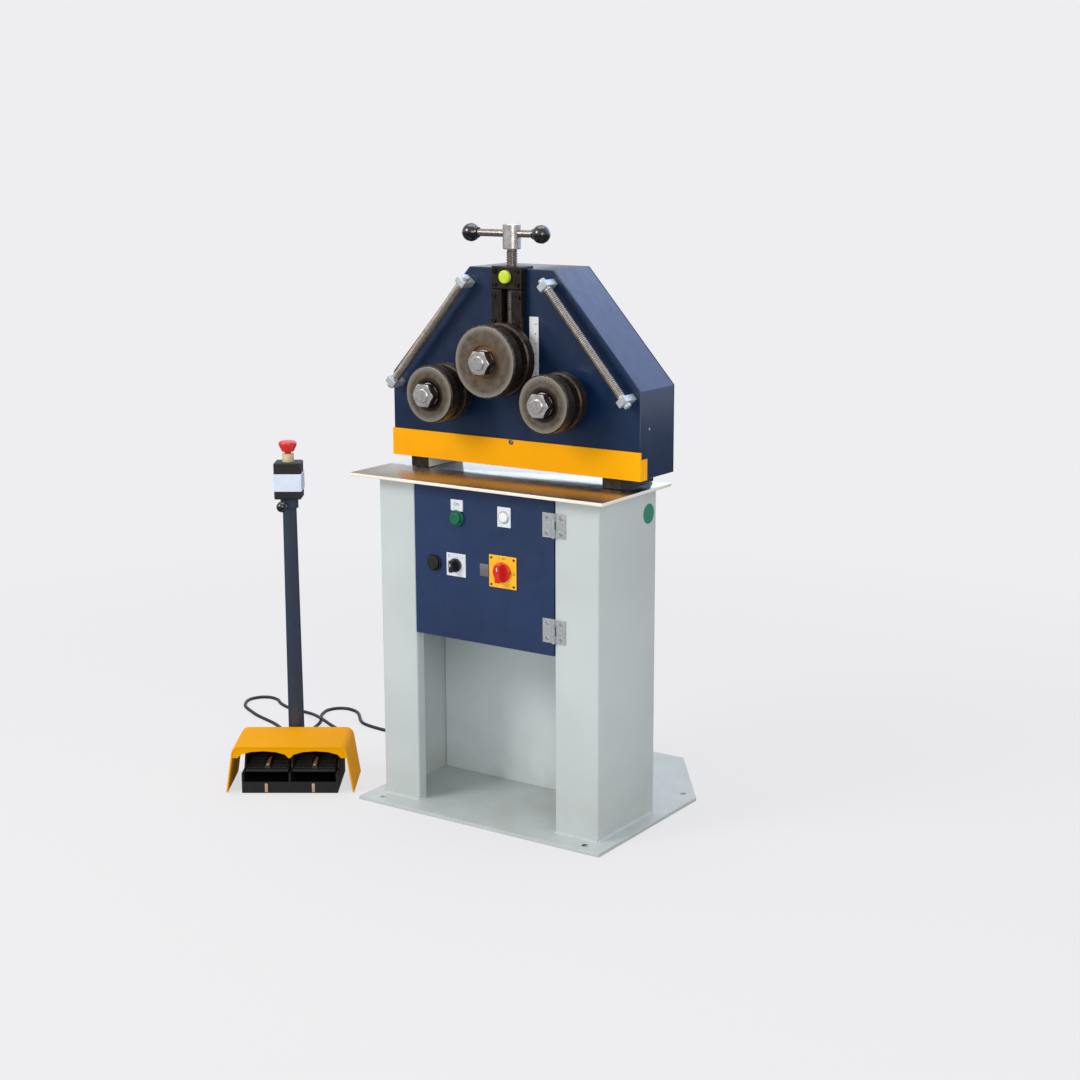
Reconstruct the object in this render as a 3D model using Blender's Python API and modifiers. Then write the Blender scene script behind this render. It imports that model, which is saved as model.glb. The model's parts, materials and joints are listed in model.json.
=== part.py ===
"""Ring roller: three grooved rolls on a five-sided head, a sheet-steel stand and a foot control station.

Lengths are in metres. X runs to the right along the front, Y to the back and Z up. The origin is the
centre of the base plate's underside, on the floor.
"""

import math

import bmesh
import bpy
from mathutils import Matrix, Vector

# Seats and running clearances
GAP = 0.0003
RADIAL_PLAY = GAP
OVERRUN = 0.01
WELD = 0.00001

# How far joined solids reach into each other, as a share of the wall
LAP_SHARE = 0.25

# Base plate and stand
STAND_HALF_WIDTH = 0.276
BASE_MARGIN = 0.034
BASE_WIDTH = (STAND_HALF_WIDTH + BASE_MARGIN) * 2
BASE_DEPTH = 0.614
BASE_THICKNESS = 0.008
BASE_CHAMFER_X_SHARE = 0.2516
BASE_CHAMFER_Y_SHARE = 0.3534
BASE_HOLE_RADIUS = 0.007
BASE_FRONT_HOLE_INSET = (0.048, 0.025)
BASE_REAR_HOLE_INSET = 0.036
BASE_REAR_HOLE_PAST_CORNER = 0.006
STAND_FRONT = -0.256
STAND_BACK = -0.035
STAND_SHEET = 0.003
STAND_FOLD_RADIUS = 0.004
STAND_RETURN = 0.024
STAND_REAR_FLANGE = 0.055
BAY_LEFT = -0.182
BAY_RIGHT = 0.171
PANEL_SHEET = 0.0025
GLAND_X = -0.245
GLAND_HEIGHT = 0.110
GLAND_RADIUS = 0.011
GLAND_NUT = 0.008
GLAND_SLEEVE_RADIUS = 0.008
GLAND_END = -0.002

# Table plate
TABLE_LEFT = -0.3275
TABLE_RIGHT = 0.306
TABLE_FRONT = -0.292
TABLE_BACK = -0.025
TABLE_TOP = 0.722
TABLE_THICKNESS = 0.007
TABLE_EDGE = 0.001

# Control cabinet and its door, which hang below the table's top by these drops
CABINET_DROP = 0.332
CABINET_FLOOR = TABLE_TOP - CABINET_DROP
CABINET_BACK = -0.062
CABINET_SHEET = 0.002
CABINET_CLEARANCE = 0.004
DOOR_DROP = 0.336
DOOR_BOTTOM = TABLE_TOP - DOOR_DROP
DOOR_TOP_CLEARANCE = 0.003
DOOR_FRONT = -0.2575
DOOR_RETURN = 0.014
DOOR_SHEET = 0.002
DOOR_SIDE_CLEARANCE = 0.001
HINGE_HEIGHT = 0.050
HINGE_LEAF = 0.027
HINGE_SHEET = 0.002
HINGE_DROPS = {"upper": 0.065, "lower": 0.283}
KNUCKLE_COUNT = 3
KNUCKLE_RADIUS = 0.0035
KNUCKLE_STANDS = 0.0005
KNUCKLE_NOTCH_CLEARANCE = 0.001
PIN_RADIUS = 0.0015
PIN_CLEARANCE = 0.0004

# What the cabinet holds
EQUIPMENT_PLATE = 0.003
EQUIPMENT_MARGIN = 0.018
RAIL_DROPS = (0.102, 0.242)
RAIL_DEPTH = 0.008
RAIL_WIDTH = 0.035
CONTACTOR = (0.045, 0.065, 0.075)
CONTACTOR_STEP = 0.056
CONTACTOR_COUNTS = (4, 3)

# Door furniture: its centres along the front and down from the table's top
START_X = -0.069
START_DROP = 0.075
START_Z = TABLE_TOP - START_DROP
START_RADIUS = 0.0125
START_STANDS = 0.012
START_BEZEL_RADIUS = 0.0165
START_BEZEL_STANDS = 0.006
START_LEGEND_WIDTH = 0.030
START_LEGEND_RISE = 0.038
LAMP_X = 0.050
LAMP_DROP = 0.061
LAMP_Z = TABLE_TOP - LAMP_DROP
LAMP_WIDTH = 0.033
LAMP_HEIGHT = 0.042
LAMP_LENS_RADIUS = 0.011
LAMP_LENS_STANDS = 0.008
LAMP_LENS_EDGE = 0.003
JOG_X = -0.130
JOG_DROP = 0.177
JOG_Z = TABLE_TOP - JOG_DROP
JOG_RADIUS = 0.0145
JOG_STANDS = 0.0085
SELECTOR_X = -0.0725
SELECTOR_DROP = 0.1755
SELECTOR_Z = TABLE_TOP - SELECTOR_DROP
SELECTOR_SIDE = 0.049
SELECTOR_KNOB_RADIUS = 0.0145
SELECTOR_GRIP_SHARE = 0.3
SWITCH_X = 0.046
SWITCH_DROP = 0.176
SWITCH_Z = TABLE_TOP - SWITCH_DROP
SWITCH_SIDE = 0.068
SWITCH_KNOB_RADIUS = 0.021
SWITCH_GRIP_SHARE = 0.28
PLATE_THICKNESS = 0.003
PLATE_EDGE = 0.00075
BUTTON_TRAVEL = 0.004
BUTTON_EDGE = 0.001
BUTTON_STEM_RADIUS = 0.005
BUTTON_STEM = 0.003
KNOB_STANDS = 0.024
KNOB_SKIRT = 0.009
KNOB_EDGE = 0.001

# Head, which stands on the table on two feet
HEAD_HALF_WIDTH = 0.310
HEAD_FRONT = -0.158
HEAD_BACK = -0.025
HEAD_STANDS = 0.023
HEAD_BOTTOM = TABLE_TOP + HEAD_STANDS
HEAD_SIDE_HEIGHT = 0.180
HEAD_SHOULDER = HEAD_BOTTOM + HEAD_SIDE_HEIGHT
HEAD_HEIGHT = 0.4105
HEAD_TOP = HEAD_BOTTOM + HEAD_HEIGHT
HEAD_TOP_HALF_WIDTH = 0.105
HEAD_FRONT_PLATE = 0.012
HEAD_WALL = 0.005
HEAD_COVER = 0.003
HEAD_EDGE = 0.0015
FOOT_INSET = 0.067
FOOT_X = HEAD_HALF_WIDTH - FOOT_INSET
FOOT_WIDTH = 0.046
FOOT_FRONT = -0.157
FOOT_BACK = -0.030
APRON_HEIGHT = 0.058
APRON_SHEET = 0.003
APRON_RETURN = 0.026
APRON_RETURN_DROP = 0.015

# Gears inside the head: both lower gears and the pinion share one module
GEAR_MODULE = 0.004
GEAR_TEETH = 50
PINION_TEETH = 21
GEAR_FRONT = -0.106
GEAR_WIDTH = 0.020
GEAR_HUB = 0.024
GEAR_ROOT_SHARE = 1.25
GEAR_TIP_SHARE = 0.9
GEAR_ROOT_HALF_SHARE = 0.33
GEAR_TIP_HALF_SHARE = 0.13

# Roll stations: the lower pair stands as far apart as the gears need, and centres rise from the head's underside
LOWER_X = GEAR_MODULE * (GEAR_TEETH + PINION_TEETH) / 2
UPPER_RISE = 0.228
UPPER_Z = HEAD_BOTTOM + UPPER_RISE
UPPER_RADIUS = 0.075
LOWER_RISE = 0.152
LOWER_Z = HEAD_BOTTOM + LOWER_RISE
LOWER_RADIUS = 0.060
ROLL_FACE = -0.254
FRONT_DISC = 0.028
REAR_DISC_FACE = -0.206
REAR_DISC = 0.026
DISC_CHAMFER = 0.003
DISC_HUB_RADIUS = 0.031
SHAFT_RADIUS = 0.015
SHAFT_FRONT = -0.279
SHAFT_CHAMFER = 0.002
NUT_FRONT = -0.276
NUT_FLATS = 0.046
NUT_CHAMFER = 0.002
NUT_CROWN = 0.006
NUT_WASHER_RADIUS = 0.025
LOWER_RECESS_RADIUS = 0.028
LOWER_RECESS = 0.008
UPPER_RECESS_RADIUS = 0.034
UPPER_RECESS = 0.003
COLLAR_RADIUS = 0.022
REAR_COLLAR = 0.008
BEARING_RADIUS = 0.018
BOSS_RADIUS = 0.032
BOSS_BACK = -0.112

# Drive
PINION_SHAFT_RADIUS = 0.0125
MOTOR_FLANGE_RADIUS = 0.055
MOTOR_RADIUS = 0.048
MOTOR_GEARBOX = 0.070
MOTOR_LENGTH = 0.180
MOTOR_SHAFT_DEPTH = 0.035
MOTOR_BOX = (0.040, 0.070, 0.060)

# Slide, carriage and adjusting spindle
SLIDE_HALF_WIDTH = 0.037
SLIDE_FRONT = -0.1763
SLOT_HALF_WIDTH = 0.0125
RAIL_RISE = 0.160
RAIL_BOTTOM = HEAD_BOTTOM + RAIL_RISE
BLOCK_STANDS = 0.0045
BLOCK_TOP = HEAD_TOP + BLOCK_STANDS
BLOCK_HEIGHT = 0.047
BLOCK_BOTTOM = BLOCK_TOP - BLOCK_HEIGHT
BLOCK_BACK = -0.130
CAP_DROP = 0.021
CAP_Z = BLOCK_TOP - CAP_DROP
CAP_RADIUS = 0.0135
CAP_STANDS = 0.009
CAP_EDGE = 0.003
CARRIAGE_HEIGHT = 0.090
CARRIAGE_REACH = 0.060
CARRIAGE_TOP = UPPER_Z + CARRIAGE_REACH
CARRIAGE_LAP = 0.003
CARRIAGE_BODY_HALF_WIDTH = 0.0195
CARRIAGE_FLANGE_HALF_WIDTH = 0.034
CARRIAGE_FLANGE_BACK = -0.122
NECK_RADIUS = 0.009
SPINDLE_Y = -0.154
SPINDLE_RADIUS = 0.0115
SPINDLE_JOURNAL_RADIUS = 0.007
SPINDLE_JOURNAL = 0.018
HUB_CLEARANCE = 0.0335
HUB_BOTTOM = BLOCK_TOP + HUB_CLEARANCE
HUB_HEIGHT = 0.051
HUB_TOP = HUB_BOTTOM + HUB_HEIGHT
HUB_RADIUS = 0.019
BAR_DROP = 0.0195
BAR_Z = HUB_TOP - BAR_DROP
BAR_RADIUS = 0.0075
BAR_LEFT = -0.102
BAR_RIGHT = 0.072
BAR_KNOB_RADIUS = 0.019
BAR_KNOB_NECK_RADIUS = 0.011

# Scale rule and the two inclined guide spindles
RULE_LEFT = 0.046
RULE_RIGHT = 0.068
RULE_DROP = 0.043
RULE_BOTTOM = UPPER_Z - RULE_DROP
RULE_LENGTH = 0.1296
RULE_TOP = RULE_BOTTOM + RULE_LENGTH
RULE_THICKNESS = 0.0015
GUIDE_TOP_INSET = 0.013
GUIDE_TOP_X = HEAD_TOP_HALF_WIDTH - GUIDE_TOP_INSET
GUIDE_TOP_DROP = 0.0185
GUIDE_FOOT_INSET = 0.0115
GUIDE_FOOT_X = HEAD_HALF_WIDTH - GUIDE_FOOT_INSET
GUIDE_FOOT_DROP = 0.029
GUIDE_Y = -0.185
GUIDE_RADIUS = 0.008
GUIDE_CHAMFER = 0.0013
BRACKET_ACROSS = 0.024
BRACKET_ALONG = 0.015
BRACKET_FRONT = -0.197

# Foot control station, in its own frame: U along its front, V to its back
STATION_PLACE = (-0.462, -0.361, 0.0)
STATION_TURN = math.radians(33.5)
HOOD_TIP = 0.140
HOOD_TOP_HALF_WIDTH = 0.124
HOOD_ROOF = 0.1045
HOOD_CORNER = 0.016
HOOD_SHEET = 0.0035
HOOD_DEPTH = 0.1435
HOOD_FLOOR_GAP = 0.001
HOOD_LIP = 0.080
HOOD_ARCH_TOP = 0.096
HOOD_ARCH_CENTRE = 0.058
HOOD_ARCH_HALF_WIDTH = 0.056
PEDAL_BASE_HALF_WIDTH = 0.106
PEDAL_BASE_FRONT = -0.004
PEDAL_BASE_BACK = 0.145
PEDAL_BASE_BOTTOM = 0.001
PEDAL_BASE_FLOOR = 0.010
PEDAL_CHEEK = 0.004
PEDAL_CHEEK_FRONT_HEIGHT = 0.046
PEDAL_CHEEK_BACK_HEIGHT = 0.1022
PEDAL_CHEEK_RISE = 0.035
PEDAL_CHEEK_CREST = 0.070
PEDAL_LIP_HEIGHT = 0.026
PEDAL_PIVOT_V = 0.118
PEDAL_PIVOT_Z = 0.055
PEDAL_PIVOT_RADIUS = 0.005
PEDAL_PIN_SEAT = 0.0013
PEDAL_BARREL_PLAY = 0.001
PEDAL_PLATE = 0.006
PEDAL_TOE_EDGE = 0.002
PEDAL_TOE_V = 0.010
PEDAL_TOE_Z = 0.050
PEDAL_SIDE_GAP = 0.003
PEDAL_RIB = 0.012
PEDAL_RIB_HEIGHT = 0.005
PEDAL_RIB_SLOPE = 0.006
PEDAL_RIB_END = 0.012
POST_U = -0.006
POST_V = 0.168
POST_FOOT_RADIUS = 0.0184
POST_TOP_RADIUS = 0.0154
SOCKET_RADIUS = 0.0225
SOCKET_TOP = 0.092
SOCKET_FLOOR = 0.016
BOX_BOTTOM = 0.632
BOX_HEIGHT = 0.082
BOX_TOP = BOX_BOTTOM + BOX_HEIGHT
BOX_WIDTH = 0.060
BOX_DEPTH = 0.050
BOX_EDGE = 0.004
BOX_BAND_RISE = 0.018
BOX_BAND_BOTTOM = BOX_BOTTOM + BOX_BAND_RISE
BOX_BAND_HEIGHT = 0.039
BOX_BAND_TOP = BOX_BAND_BOTTOM + BOX_BAND_HEIGHT
BOX_BAND_STANDS = 0.0015
STOP_NECK_RADIUS = 0.013
STOP_NECK = 0.018
STOP_NECK_HEIGHT = BOX_TOP + STOP_NECK
STOP_RADIUS = 0.020
STOP_STEM_RADIUS = 0.007
STOP_STANDS = 0.047
STOP_HEIGHT = BOX_TOP + STOP_STANDS
STOP_EDGE = 0.005
STOP_CROWN = 0.0012
CLAMP_DROP = 0.013
CLAMP_Z = BOX_BOTTOM - CLAMP_DROP
CLAMP_TURN = (math.radians(90), 0, math.radians(-15))
CLAMP_COLLAR_RADIUS = 0.020
CLAMP_COLLAR_DROP = 0.022
CLAMP_COLLAR_BOTTOM = BOX_BOTTOM - CLAMP_COLLAR_DROP
CLAMP_SEAT = 0.0163
CLAMP_KNOB_RADIUS = 0.0125
CLAMP_STEM_RADIUS = 0.004
CLAMP_REACH = 0.030

# Control cord: where its middle runs, from the gland on the stand to the foot station
CORD_RADIUS = 0.004
CORD_STEP = 0.024
CORD_ROUTE = (
    (-0.2450, -0.0017, 0.1100),
    (-0.2450, 0.0180, 0.1100),
    (-0.2450, 0.0430, 0.0990),
    (-0.2490, 0.0680, 0.0640),
    (-0.2589, 0.0893, 0.0310),
    (-0.2807, 0.1014, 0.0150),
    (-0.3059, 0.1060, 0.0131),
    (-0.3402, 0.1057, 0.0085),
    (-0.3752, 0.1017, 0.0045),
    (-0.4751, 0.0988, 0.0043),
    (-0.5828, 0.0967, 0.0043),
    (-0.6324, 0.1064, 0.0043),
    (-0.7269, 0.1779, 0.0043),
    (-0.7490, 0.1805, 0.0043),
    (-0.7720, 0.1685, 0.0043),
    (-0.7821, 0.1450, 0.0043),
    (-0.7732, 0.1129, 0.0043),
    (-0.7350, 0.0600, 0.0043),
    (-0.6990, -0.0224, 0.0043),
    (-0.6881, -0.0366, 0.0043),
    (-0.6633, -0.0455, 0.0043),
    (-0.6444, -0.0394, 0.0043),
    (-0.6312, -0.0220, 0.0043),
    (-0.6298, -0.0030, 0.0052),
    (-0.6426, 0.0191, 0.0080),
    (-0.6846, 0.0359, 0.0132),
    (-0.7350, 0.0600, 0.0140),
    (-0.7783, 0.0828, 0.0100),
    (-0.8253, 0.0992, 0.0050),
    (-0.8739, 0.1042, 0.0043),
    (-0.9180, 0.1209, 0.0043),
    (-0.9536, 0.1436, 0.0043),
    (-0.9778, 0.1464, 0.0043),
    (-0.9977, 0.1363, 0.0043),
    (-1.0099, 0.1084, 0.0043),
    (-0.9912, 0.0666, 0.0043),
    (-0.9251, 0.0242, 0.0043),
    (-0.8000, -0.0230, 0.0043),
    (-0.7000, -0.0950, 0.0043),
    (-0.6480, -0.1560, 0.0070),
    (-0.6200, -0.2038, 0.0180),
    (-0.6062, -0.2247, 0.0200),
)
STATION_GLAND_U = -0.045
STATION_GLAND_Z = 0.020
STATION_GLAND_END = 0.193
STATION_GLAND_NUT = 0.008

# Resolution of the round shapes
DISC_STEPS = 32
SHAFT_STEPS = 16
BORE_STEPS = 18
SMALL_STEPS = 12
BALL_STEPS = 7
DENSE_STEPS = 16
ARC_STEPS = 4


def clear_scene():
    for old in list(bpy.data.objects):
        bpy.data.objects.remove(old)


def new_collection(name):
    made = bpy.data.collections.new(name)
    bpy.context.scene.collection.children.link(made)
    return made


clear_scene()
PARTS = new_collection("ring_roller")
HELPERS = new_collection("ring_roller_helpers")
HELPERS.hide_render = True


def linear(channel):
    """One sRGB channel, 0 to 255, as a linear share."""
    share = channel / 255
    return share / 12.92 if share <= 0.04045 else ((share + 0.055) / 1.055) ** 2.4


def look(name, red, green, blue, roughness, metallic=0.0):
    """A Principled material of this sRGB colour."""
    made = bpy.data.materials.new(name)
    made.use_nodes = True
    shader = made.node_tree.nodes["Principled BSDF"]
    colour = (linear(red), linear(green), linear(blue), 1)
    shader.inputs["Base Color"].default_value = colour
    shader.inputs["Roughness"].default_value = roughness
    shader.inputs["Metallic"].default_value = metallic
    made.diffuse_color = colour
    return made


def place_mesh(name, mesh, pivot, finish):
    """An object of this mesh, whose points are given about the pivot."""
    made = bpy.data.objects.new(name, mesh)
    made.location = pivot
    PARTS.objects.link(made)
    if finish is not None:
        mesh.materials.append(finish)
    return made


def helper(obj):
    """Turns an object into one that only a Boolean uses."""
    PARTS.objects.unlink(obj)
    HELPERS.objects.link(obj)
    obj.hide_render = True
    obj.display_type = "WIRE"
    return obj


def boolean(obj, other, operation):
    modifier = obj.modifiers.new(f"{operation.lower()} {other.name}", "BOOLEAN")
    modifier.operation = operation
    modifier.solver = "EXACT"
    modifier.object = helper(other)


def cut(obj, *others):
    for other in others:
        boolean(obj, other, "DIFFERENCE")


def join(obj, *others):
    for other in others:
        boolean(obj, other, "UNION")


def soften(obj, width, segments=1):
    """Rounds the edges sharper than 30 degrees."""
    bevel = obj.modifiers.new("edges", "BEVEL")
    bevel.width = width
    bevel.segments = segments
    bevel.limit_method = "ANGLE"


def shade_round(obj):
    """Smooth shading with the real edges kept sharp."""
    obj.data.shade_smooth()
    obj.data.set_sharp_from_angle(angle=math.radians(35))


def box(name, low, high, finish=None, pivot=None):
    """A box between two corners. Its origin is its centre, or the pivot given."""
    low = Vector(low)
    high = Vector(high)
    centre = (low + high) / 2
    pivot = centre if pivot is None else Vector(pivot)
    shape = Matrix.Translation(centre - pivot) @ Matrix.Diagonal((*(high - low), 1))
    mesh = bpy.data.meshes.new(name)
    work = bmesh.new()
    bmesh.ops.create_cube(work, size=1, matrix=shape)
    work.to_mesh(mesh)
    work.free()
    return place_mesh(name, mesh, pivot, finish)


def across(axis):
    """The turn that lays an outline drawn in U and V square to this axis."""
    if axis == "X":
        return Matrix(((0, 0, 1), (1, 0, 0), (0, 1, 0))).to_4x4()
    if axis == "Y":
        return Matrix.Rotation(math.radians(90), 4, "X")
    return Matrix.Identity(4)


def prism(name, outline, near, far, axis, finish=None, pivot=(0, 0, 0), holes=()):
    """A flat outline made solid from near to far along the axis."""
    curve = bpy.data.curves.new(name, "CURVE")
    curve.dimensions = "2D"
    curve.fill_mode = "BOTH"
    curve.extrude = (far - near) / 2
    for points in (outline, *holes):
        spline = curve.splines.new("POLY")
        spline.points.add(len(points) - 1)
        spline.use_cyclic_u = True
        for point, (u, v) in zip(spline.points, points):
            point.co = (u, v, 0, 1)
    source = bpy.data.objects.new(name, curve)
    HELPERS.objects.link(source)
    graph = bpy.context.evaluated_depsgraph_get()
    mesh = bpy.data.meshes.new_from_object(source.evaluated_get(graph))
    bpy.data.objects.remove(source)
    bpy.data.curves.remove(curve)
    middle = (near + far) / 2
    offset = {"X": (middle, 0, 0), "Y": (0, middle, 0), "Z": (0, 0, middle)}[axis]
    shape = Matrix.Translation(Vector(offset) - Vector(pivot)) @ across(axis)
    work = bmesh.new()
    work.from_mesh(mesh)
    bmesh.ops.remove_doubles(work, verts=work.verts, dist=WELD)
    bmesh.ops.transform(work, matrix=shape, verts=work.verts)
    bmesh.ops.recalc_face_normals(work, faces=work.faces)
    work.to_mesh(mesh)
    work.free()
    mesh.name = name
    return place_mesh(name, mesh, pivot, finish)


UP = (0, 0, 0)
FORWARD = (math.radians(90), 0, 0)
SIDEWAYS = (0, math.radians(90), 0)


def turned(name, profile, pivot, turn, finish=None, steps=SHAFT_STEPS, closed=False):
    """A turned piece: (radius, height) points down its outer side, spun about the pivot's axis."""
    mesh = bpy.data.meshes.new(name)
    points = [(radius, 0, height) for radius, height in profile]
    edges = [(i, i + 1) for i in range(len(points) - 1)]
    if closed:
        edges.append((len(points) - 1, 0))
    mesh.from_pydata(points, edges, [])
    made = place_mesh(name, mesh, pivot, finish)
    made.rotation_euler = turn
    screw = made.modifiers.new("turn", "SCREW")
    screw.steps = steps
    screw.render_steps = steps
    screw.use_merge_vertices = True
    screw.merge_threshold = WELD
    screw.use_smooth_shade = False
    return made


def cylinder(name, radius, top, bottom, pivot, turn, finish=None, steps=SHAFT_STEPS, chamfer=0):
    """A round bar from top to bottom along the pivot's axis, with both ends chamfered alike."""
    if chamfer:
        profile = [
            (0, top),
            (radius - chamfer, top),
            (radius, top - chamfer),
            (radius, bottom + chamfer),
            (radius - chamfer, bottom),
            (0, bottom),
        ]
    else:
        profile = [(0, top), (radius, top), (radius, bottom), (0, bottom)]
    return turned(name, profile, pivot, turn, finish, steps)


def arc(centre, radius, start, end, steps=ARC_STEPS):
    """Points of an arc, angles in degrees."""
    found = []
    for step in range(steps + 1):
        angle = math.radians(start + (end - start) * step / steps)
        found.append((centre[0] + radius * math.cos(angle), centre[1] + radius * math.sin(angle)))
    return found


def rounded(points, radius, steps=ARC_STEPS):
    """A closed outline with each corner rounded to this radius, or to its own where a point has one."""
    found = []
    for index, point in enumerate(points):
        here = Vector(point[:2])
        size = point[2] if len(point) > 2 else radius
        if not size:
            found.append(tuple(here))
            continue
        back = (Vector(points[index - 1][:2]) - here).normalized()
        ahead = (Vector(points[(index + 1) % len(points)][:2]) - here).normalized()
        half = back.angle(ahead) / 2
        reach = size / math.tan(half)
        centre = here + (back + ahead).normalized() * (size / math.sin(half))
        first = here + back * reach - centre
        last = here + ahead * reach - centre
        sweep = first.angle_signed(last)
        for step in range(steps + 1):
            turn = Matrix.Rotation(-sweep * step / steps, 2)
            found.append(tuple(centre + turn @ first))
    return found


def offset(points, distance):
    """A convex outline, drawn anticlockwise, moved inwards by this distance."""
    found = []
    for index, point in enumerate(points):
        here = Vector(point)
        back = (here - Vector(points[index - 1])).normalized()
        ahead = (Vector(points[(index + 1) % len(points)]) - here).normalized()
        inward = Vector((-back.y, back.x))
        turn = (math.pi - back.angle(ahead)) / 2
        slide = distance / math.tan(turn)
        found.append(tuple(here + inward * distance - back * slide))
    return found

STAND_PAINT = look("light_grey_stand_paint", 208, 215, 214, 0.42)
DOOR_PAINT = look("blue_grey_door_paint", 47, 62, 92, 0.40)
HEAD_PAINT = look("dark_blue_head_paint", 28, 52, 84, 0.38)
APRON_PAINT = look("yellow_guard_paint", 255, 180, 0, 0.35)
TABLE_PAINT = look("glossy_grey_table_paint", 176, 172, 160, 0.15)
ROLL_STEEL = look("oiled_roll_steel", 118, 112, 102, 0.42, 1)
BRIGHT_STEEL = look("bright_turned_steel", 196, 197, 196, 0.28, 1)
DARK_STEEL = look("blackened_slide_steel", 52, 50, 48, 0.45, 1)
ZINC = look("zinc_plated_steel", 190, 198, 200, 0.35, 1)
ALUMINIUM = look("brushed_aluminium_rule", 205, 212, 220, 0.35, 1)
BLACK_PLASTIC = look("black_plastic", 24, 25, 28, 0.45)
GLOSS_BLACK = look("glossy_black_phenolic", 20, 20, 24, 0.18)
PALE_PLASTIC = look("pale_grey_plastic", 214, 222, 228, 0.40)
GREEN_PLASTIC = look("green_button_plastic", 20, 110, 78, 0.35)
YELLOW_PLASTIC = look("yellow_switch_plastic", 250, 176, 20, 0.35)
RED_PLASTIC = look("red_switch_plastic", 215, 38, 30, 0.30)
CAP_PLASTIC = look("yellow_green_cap_plastic", 190, 210, 80, 0.35)
MOTOR_PAINT = look("grey_motor_paint", 96, 102, 108, 0.45)
CORD_JACKET = look("black_cord_jacket", 36, 40, 41, 0.55)

TABLE_UNDERSIDE = TABLE_TOP - TABLE_THICKNESS
STAND_FOOT = BASE_THICKNESS + GAP
STAND_HEAD = TABLE_UNDERSIDE - GAP
DOOR_TOP = STAND_HEAD - DOOR_TOP_CLEARANCE
DOOR_LEFT = BAY_LEFT + DOOR_SIDE_CLEARANCE
DOOR_RIGHT = BAY_RIGHT - DOOR_SIDE_CLEARANCE
DOOR_AXIS = (BAY_RIGHT, DOOR_FRONT - KNUCKLE_RADIUS - KNUCKLE_STANDS, 0)


def base_plate():
    """The plate on the floor, with both rear corners cut off and a hole for an anchor near each corner."""
    half_width = BASE_WIDTH / 2
    half_depth = BASE_DEPTH / 2
    corner_x = half_width - BASE_WIDTH * BASE_CHAMFER_X_SHARE
    corner_y = half_depth - BASE_DEPTH * BASE_CHAMFER_Y_SHARE
    outline = [
        (-half_width, -half_depth),
        (half_width, -half_depth),
        (half_width, corner_y),
        (corner_x, half_depth),
        (-corner_x, half_depth),
        (-half_width, corner_y),
    ]
    inset_x, inset_y = BASE_FRONT_HOLE_INSET
    front_hole = (half_width - inset_x, inset_y - half_depth)
    rear_hole = (half_width - BASE_REAR_HOLE_INSET, corner_y + BASE_REAR_HOLE_PAST_CORNER)
    centres = [(side * x, y) for side in (-1, 1) for x, y in (front_hole, rear_hole)]
    full_turn = 360 * (SMALL_STEPS - 1) / SMALL_STEPS
    holes = [arc(centre, BASE_HOLE_RADIUS, 0, full_turn, SMALL_STEPS - 1) for centre in centres]
    prism("base_plate", outline, 0, BASE_THICKNESS, "Z", STAND_PAINT, holes=holes)


def stand_column(name, side, bay):
    """One folded column: front face, short return into the bay, side wall and rear flange."""
    outer = side * STAND_HALF_WIDTH
    wall = outer - side * STAND_SHEET
    inner = bay + side * STAND_SHEET
    flange = outer - side * (STAND_REAR_FLANGE + STAND_SHEET)
    sheet = STAND_SHEET
    bend = STAND_FOLD_RADIUS
    inside = bend - sheet
    outline = [
        (bay, STAND_FRONT + STAND_RETURN),
        (bay, STAND_FRONT, bend),
        (outer, STAND_FRONT, bend),
        (outer, STAND_BACK, bend),
        (flange, STAND_BACK),
        (flange, STAND_BACK - sheet),
        (wall, STAND_BACK - sheet, inside),
        (wall, STAND_FRONT + sheet, inside),
        (inner, STAND_FRONT + sheet, inside),
        (inner, STAND_FRONT + STAND_RETURN),
    ]
    return prism(name, rounded(outline, 0), STAND_FOOT, STAND_HEAD, "Z", STAND_PAINT)


def cord_gland(column):
    """The gland that the control cord leaves by, on the left column's rear flange."""
    root = -STAND_BACK + STAND_SHEET / 2
    nut = -STAND_BACK - GLAND_NUT
    profile = [
        (0, root),
        (GLAND_RADIUS, root),
        (GLAND_RADIUS, nut),
        (GLAND_SLEEVE_RADIUS, nut),
        (CORD_RADIUS, -GLAND_END),
        (0, -GLAND_END),
    ]
    seat = (GLAND_X, 0, GLAND_HEIGHT)
    join(column, turned("cord_gland", profile, seat, FORWARD, steps=SMALL_STEPS))


def stand_columns():
    cord_gland(stand_column("stand_left_column", -1, BAY_LEFT))
    stand_column("stand_right_column", 1, BAY_RIGHT)


def stand_back_panel():
    half_width = STAND_HALF_WIDTH - STAND_SHEET - STAND_FOLD_RADIUS
    back = STAND_BACK - STAND_SHEET - GAP
    low = (-half_width, back - PANEL_SHEET, STAND_FOOT)
    box("stand_back_panel", low, (half_width, back, STAND_HEAD), STAND_PAINT)


def table_plate():
    low = (TABLE_LEFT, TABLE_FRONT, TABLE_UNDERSIDE)
    plate = box("table_plate", low, (TABLE_RIGHT, TABLE_BACK, TABLE_TOP), TABLE_PAINT)
    soften(plate, TABLE_EDGE, 2)


def control_cabinet():
    left = BAY_LEFT + GAP
    right = BAY_RIGHT - GAP
    front = DOOR_FRONT + DOOR_RETURN + DOOR_SIDE_CLEARANCE
    top = STAND_HEAD - CABINET_CLEARANCE
    sheet = CABINET_SHEET
    shell = box(
        "control_cabinet", (left, front, CABINET_FLOOR), (right, CABINET_BACK, top), STAND_PAINT
    )
    room = box(
        "cabinet_room",
        (left + sheet, front - OVERRUN, CABINET_FLOOR + sheet),
        (right - sheet, CABINET_BACK - sheet, top - sheet),
    )
    cut(shell, room)


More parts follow.
